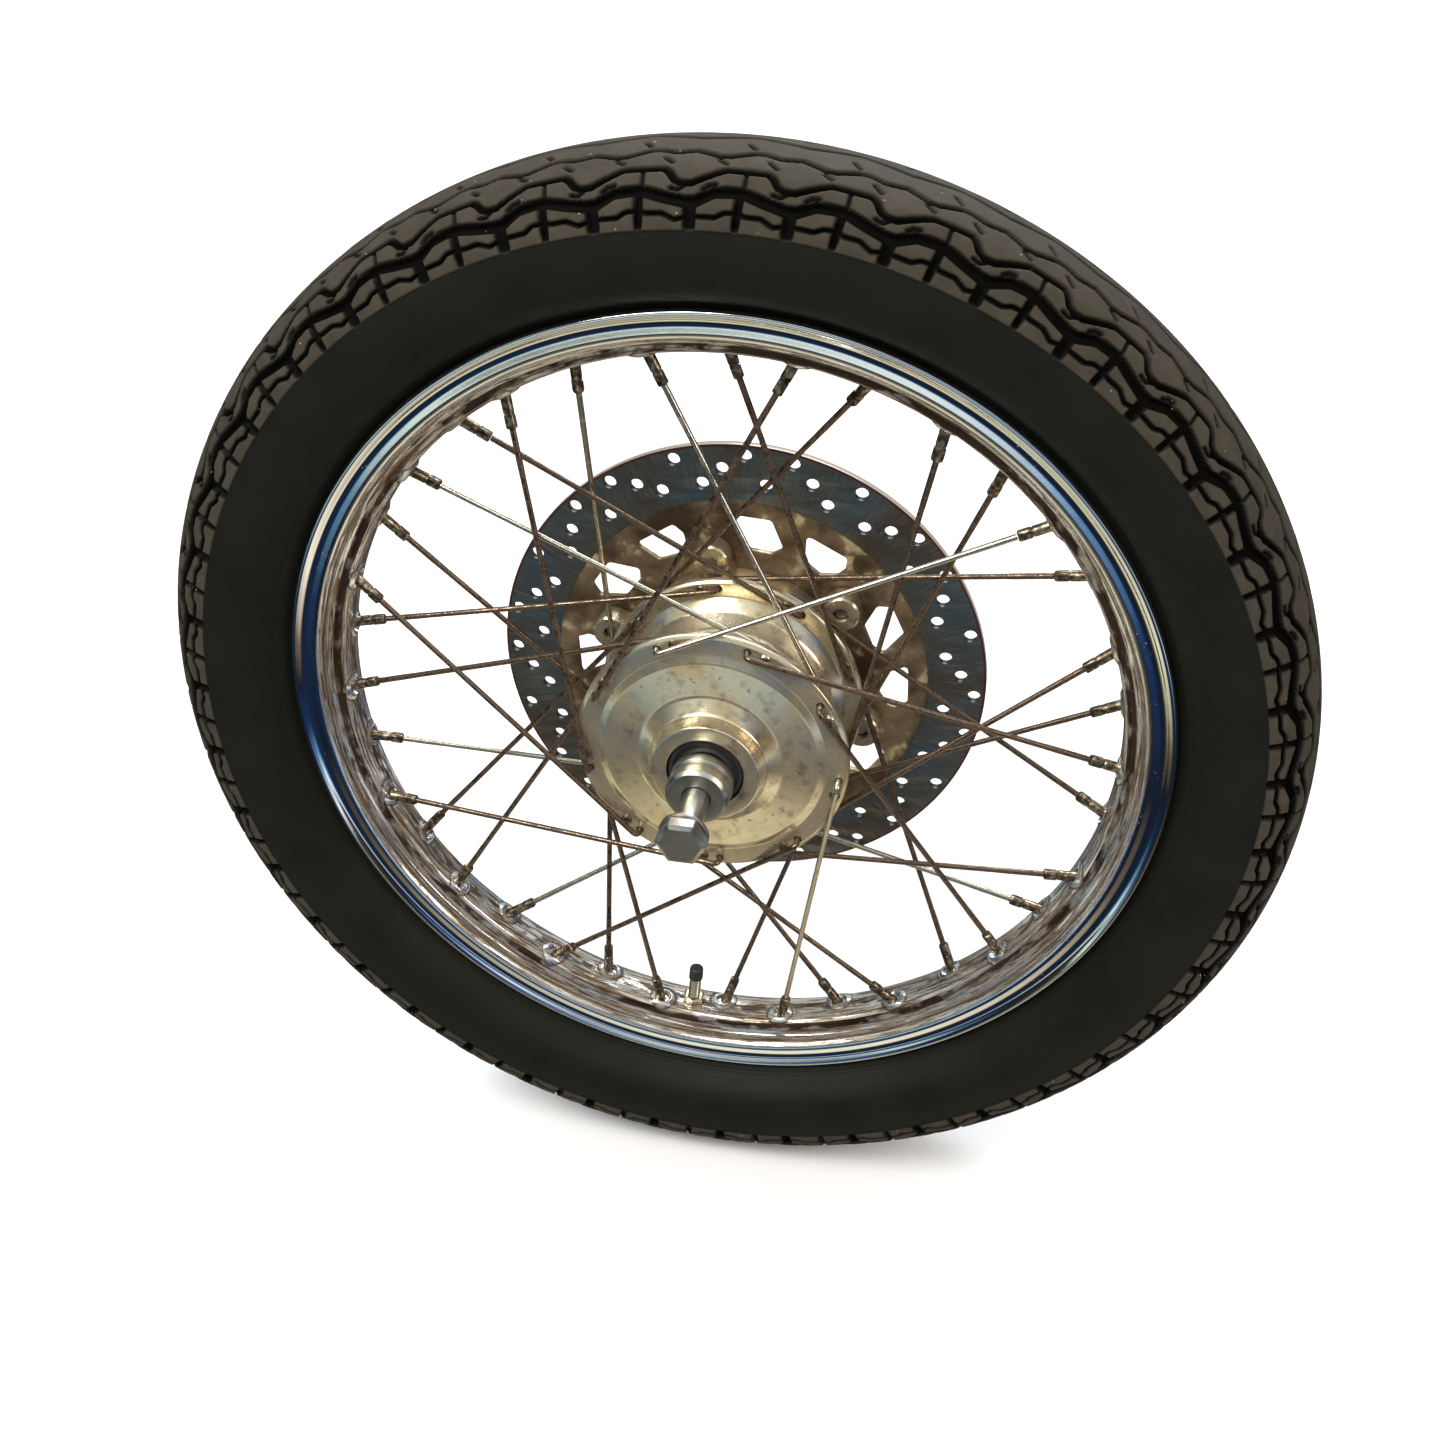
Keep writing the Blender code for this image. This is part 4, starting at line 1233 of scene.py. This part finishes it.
def make_disc(steel):
    rims = [ring_points(DISC_RADIUS, 240), ring_points(TRACK_BORE, 180)]
    track = plate("brake_disc_track", rims + track_holes(), TRACK_NEAR, TRACK_FAR)
    loops = [ring_points(TRACK_BORE + 0.0006, 180), ring_points(DISC_BORE, 120)]
    for k in range(LUGS):
        arm = LUG_ANGLE + 360 / LUGS * k
        loops.append(window_loop(LEANING_WINDOW, arm + LEANING_MIDDLE))
        loops.append(window_loop(FLARED_WINDOW, arm + FLARED_MIDDLE))
        spot = polar(LUG_CIRCLE, arm)
        loops.append(ring_points(BOLT_HOLE, 28, (spot.x, spot.z)))
    carrier = plate("brake_disc_carrier", loops, DISC_NEAR, DISC_FAR)
    made = combined(track, [carrier], "UNION")
    made.name = "brake_disc_plate"
    shaded(made, 30)
    dressed(made, steel, "wheel")
    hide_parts("brake_disc")


def make_disc_bolt(number, steel):
    """Flanged hexagon bolt with a dished top, and its threaded end in the lug."""
    centre = polar(LUG_CIRCLE, LUG_ANGLE + 360 / LUGS * number)

    def at(place, a, b):
        return centre + Vector((a, place, b))

    seat = DISC_FAR + 0.0001
    stations = ((0.0, 0.0066), (0.0, 0.0072), (0.0005, 0.0072), (0.0016, 0.0062), (0.0018, 0.0050))
    flange = [[at(seat + lift, a, b) for a, b in circle(size, 36)] for lift, size in stations]
    top = seat + 0.0057
    rings = hex_rings(seat + 0.0012, top, BOLT_HEX, at)
    for y, size in ((top, 0.0034), (top - 0.0008, 0.0030)):
        ring = []
        for a, b in hexagon(BOLT_HEX):
            ring.append(at(y, a * size / math.hypot(a, b), b * size / math.hypot(a, b)))
        rings.append(ring)
    stud = threaded("stud", 0.0447, seat + 0.0010, 0.0039, 0.00125, 0.0004, 20, centre, (0, 1, 0))
    pieces = [capped("flange", flange), capped("head", rings), stud]
    made = merged(f"disc_bolt_head_{number + 1}", pieces)
    shaded(made, 30)
    dressed(made, steel, "wheel")
    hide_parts(f"disc_bolt_{number + 1}")


# ---------------------------------------------------------------- axle, collars and seals

def turned_piece(name, corners, segments, finish, body, node):
    made = shaded(turned(name, rounded(corners, 4), segments))
    dressed(made, finish, body)
    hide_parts(node)


def mirrored_corners(corners, side):
    """An outline for the +Y side (1) or the -Y side (-1)."""
    return [(side * y, radius, size) for y, radius, size in corners]


def on_axle(place, a, b):
    return Vector((a, place, b))


def make_axle(steel):
    """Spindle with a hexagon head at -Y and a thread at +Y."""
    outline = [(-0.1025, 0.0, 0), (-0.1025, 0.0074, 0.0003), (0.0905, 0.0074, 0.0008),
               (0.0915, 0.0064, 0.0004), (0.0950, 0.0064, 0.0004), (0.0950, 0.0, 0)]
    shaft = turned("shaft", rounded(outline, 3), 64)
    thread = threaded("thread", 0.0940, AXLE_HALF, 0.0072, 0.0015, 0.0007, 48, (0, 0, 0), (0, 1, 0), 0.0012)
    head = capped("head", hex_rings(-AXLE_HALF, -0.1030, AXLE_HEX, on_axle))
    washer = [(-0.1034, 0.0, 0), (-0.1034, 0.0128, 0.0004), (-0.1016, WASHER_RADIUS, 0.0004),
              (-0.1016, 0.0, 0)]
    made = merged("axle_spindle", [shaft, thread, head, turned("head_flange", rounded(washer, 3), 64)])
    shaded(made, 30)
    dressed(made, steel, "axle_assembly")
    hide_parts("axle")


def make_axle_nut(steel):
    """Hexagon nut with a washer face and a chamfered bore."""
    rings = hex_rings(0.1012, 0.1105, AXLE_HEX, on_axle)
    flat = [(0.1000, AXLE_BORE, 0.0003), (0.1000, WASHER_RADIUS, 0.0004),
            (0.1016, WASHER_RADIUS, 0.0004), (0.1016, AXLE_BORE, 0.0003)]
    bore = prism("bore", circle(0.0076, 48), 0.0990, 0.1120)
    body = combined(capped("axle_nut_hexagon", rings), [bore], "DIFFERENCE")
    made = merged("axle_nut_hexagon", [body, turned("washer_face", rounded(flat, 3), 64)])
    shaded(made, 30)
    dressed(made, steel, "axle_assembly")
    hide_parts("axle_nut")


# Outlines of the pieces at the +Y end of the hub
COLLAR = ((0.0433, AXLE_BORE, 0.0003), (0.0725, AXLE_BORE, 0.0005), (0.0725, 0.0152, 0.0008),
          (0.0700, 0.0170, 0.0010), (0.0640, 0.0170, 0.0006), (0.0634, 0.0160, 0.0004),
          (0.0610, 0.0160, 0.0004), (0.0604, 0.0170, 0.0006), (0.0545, 0.0170, 0.0008),
          (0.0545, 0.0136, 0.0006), (0.0532, 0.0125, 0.0008), (0.0433, 0.0125, 0.0004))
SEAL = ((0.0433, 0.0150, 0.0004), (0.0433, 0.0207, 0.0006), (0.0474, 0.0207, 0.0006),
        (0.0485, 0.0198, 0.0006), (0.0485, 0.0178, 0.0006), (0.0470, 0.0170, 0.0010),
        (0.0470, 0.0150, 0.0008), (0.0484, 0.0132, 0.0004), (0.0476, 0.0128, 0.0002),
        (0.0455, 0.0138, 0.0006), (0.0447, 0.0150, 0.0006))
INNER_RING = ((0.0300, AXLE_BORE, 0.0008), (0.0430, AXLE_BORE, 0.0008), (0.0430, 0.0105, 0.0004),
              (0.0390, 0.0108, 0.0006), (0.0365, 0.0100, 0.0030), (0.0340, 0.0108, 0.0006),
              (0.0300, 0.0105, 0.0004))
OUTER_RING = ((0.0300, 0.0181, 0.0004), (0.0340, 0.0180, 0.0006), (0.0365, 0.0186, 0.0030),
              (0.0390, 0.0180, 0.0006), (0.0430, 0.0181, 0.0004), (0.0430, 0.0207, 0.0010),
              (0.0300, 0.0207, 0.0010))
# (name, outline, mesh columns, finish, body, slot, node)
SIDE_PARTS = (
    ("collar_sleeve", COLLAR, 72, "steel", "axle_assembly", "zinc_steel", "collar"),
    ("seal_lip", SEAL, 72, "seal", "wheel", "seal_rubber", "dust_seal"),
    ("race_inner", INNER_RING, 64, "race", "axle_assembly", "bearing_steel", "bearing_inner"),
    ("race_outer", OUTER_RING, 64, "race", "wheel", "bearing_steel", "bearing_outer"),
)
BALLS = 7
BALL_RADIUS = 0.0035
BALL_CIRCLE = 0.0143
BEARING_MIDDLE = 0.0365


def make_side_parts(word, side, finishes):
    """Collar, dust seal and bearing rings of one side."""
    for name, outline, segments, finish, body, slot, node in SIDE_PARTS:
        corners = mirrored_corners(outline, side)
        turned_piece(f"{name}_{word}", corners, segments, finishes[finish], body, f"{node}_{word}")


def make_cage(word, side, finishes):
    """Polished balls in a pressed ring."""
    centre = side * BEARING_MIDDLE
    flat = [(centre - 0.0014, 0.0133, 0.0003), (centre + 0.0014, 0.0133, 0.0003),
            (centre + 0.0014, 0.0153, 0.0003), (centre - 0.0014, 0.0153, 0.0003)]
    parts = [turned("ring", rounded(flat, 3), 56)]
    for k in range(BALLS):
        ball = bmesh.new()
        bmesh.ops.create_icosphere(ball, subdivisions=3, radius=BALL_RADIUS)
        bmesh.ops.translate(ball, verts=ball.verts, vec=polar(BALL_CIRCLE, 360 / BALLS * k, centre))
        mesh = bpy.data.meshes.new("ball")
        ball.to_mesh(mesh)
        ball.free()
        parts.append(linked("ball", mesh))
    made = shaded(merged(f"cage_and_balls_{word}", parts), 40)
    dressed(made, finishes["brass"], f"ball_cage_{word}")
    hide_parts(f"ball_cage_{word}")


def make_axle_parts(finishes):
    make_axle(finishes["steel"])
    make_axle_nut(finishes["steel"])
    spacer = [(-0.0297, AXLE_BORE, 0.0004), (0.0297, AXLE_BORE, 0.0004), (0.0297, 0.0105, 0.0006),
              (-0.0297, 0.0105, 0.0006)]
    steel = finishes["steel"]
    turned_piece("spacer_tube", spacer, 64, steel, "axle_assembly", "bearing_spacer")
    for word, side in (("left", 1), ("right", -1)):
        make_side_parts(word, side, finishes)
        make_cage(word, side, finishes)


# ---------------------------------------------------------------- everything together

bpy.context.scene.view_settings.view_transform = "Standard"
make_camera()
make_lights()
make_world()
make_stage()
finishes = {
    "steel": worn_metal("zinc_steel", (0.50, 0.49, 0.45), 0.28),
    "race": worn_metal("bearing_steel", (0.56, 0.56, 0.57), 0.14),
    "brass": worn_metal("cage_brass", (0.66, 0.49, 0.22), 0.25),
    "valve": worn_metal("valve_brass", (0.60, 0.52, 0.36), 0.25),
    "tube": plain_rubber("tube_rubber", (0.014, 0.014, 0.014), 0.50),
    "seal": plain_rubber("seal_rubber", (0.010, 0.010, 0.011), 0.42),
}
make_tyre(tyre_rubber())
make_tube(finishes["tube"])
make_rim(rim_chrome())
make_rim_band(finishes["tube"])
make_valve(finishes["valve"], finishes["seal"])
bright = spoke_metal("spoke_bright", (0.62, 0.56, 0.45), (0.10, 0.050, 0.028), 0.36)
dark = spoke_metal("spoke_dark", (0.24, 0.165, 0.110), (0.036, 0.016, 0.009), 0.56)
nipple_metal = nipple_brass()
for spoke_index in range(SPOKES):
    make_spoke(spoke_index, bright if spoke_index in BRIGHT_SPOKES else dark)
    make_nipple(spoke_index, nipple_metal)
make_hub(hub_aluminium())
make_disc(disc_steel())
for bolt_number in range(LUGS):
    make_disc_bolt(bolt_number, finishes["steel"])
make_axle_parts(finishes)
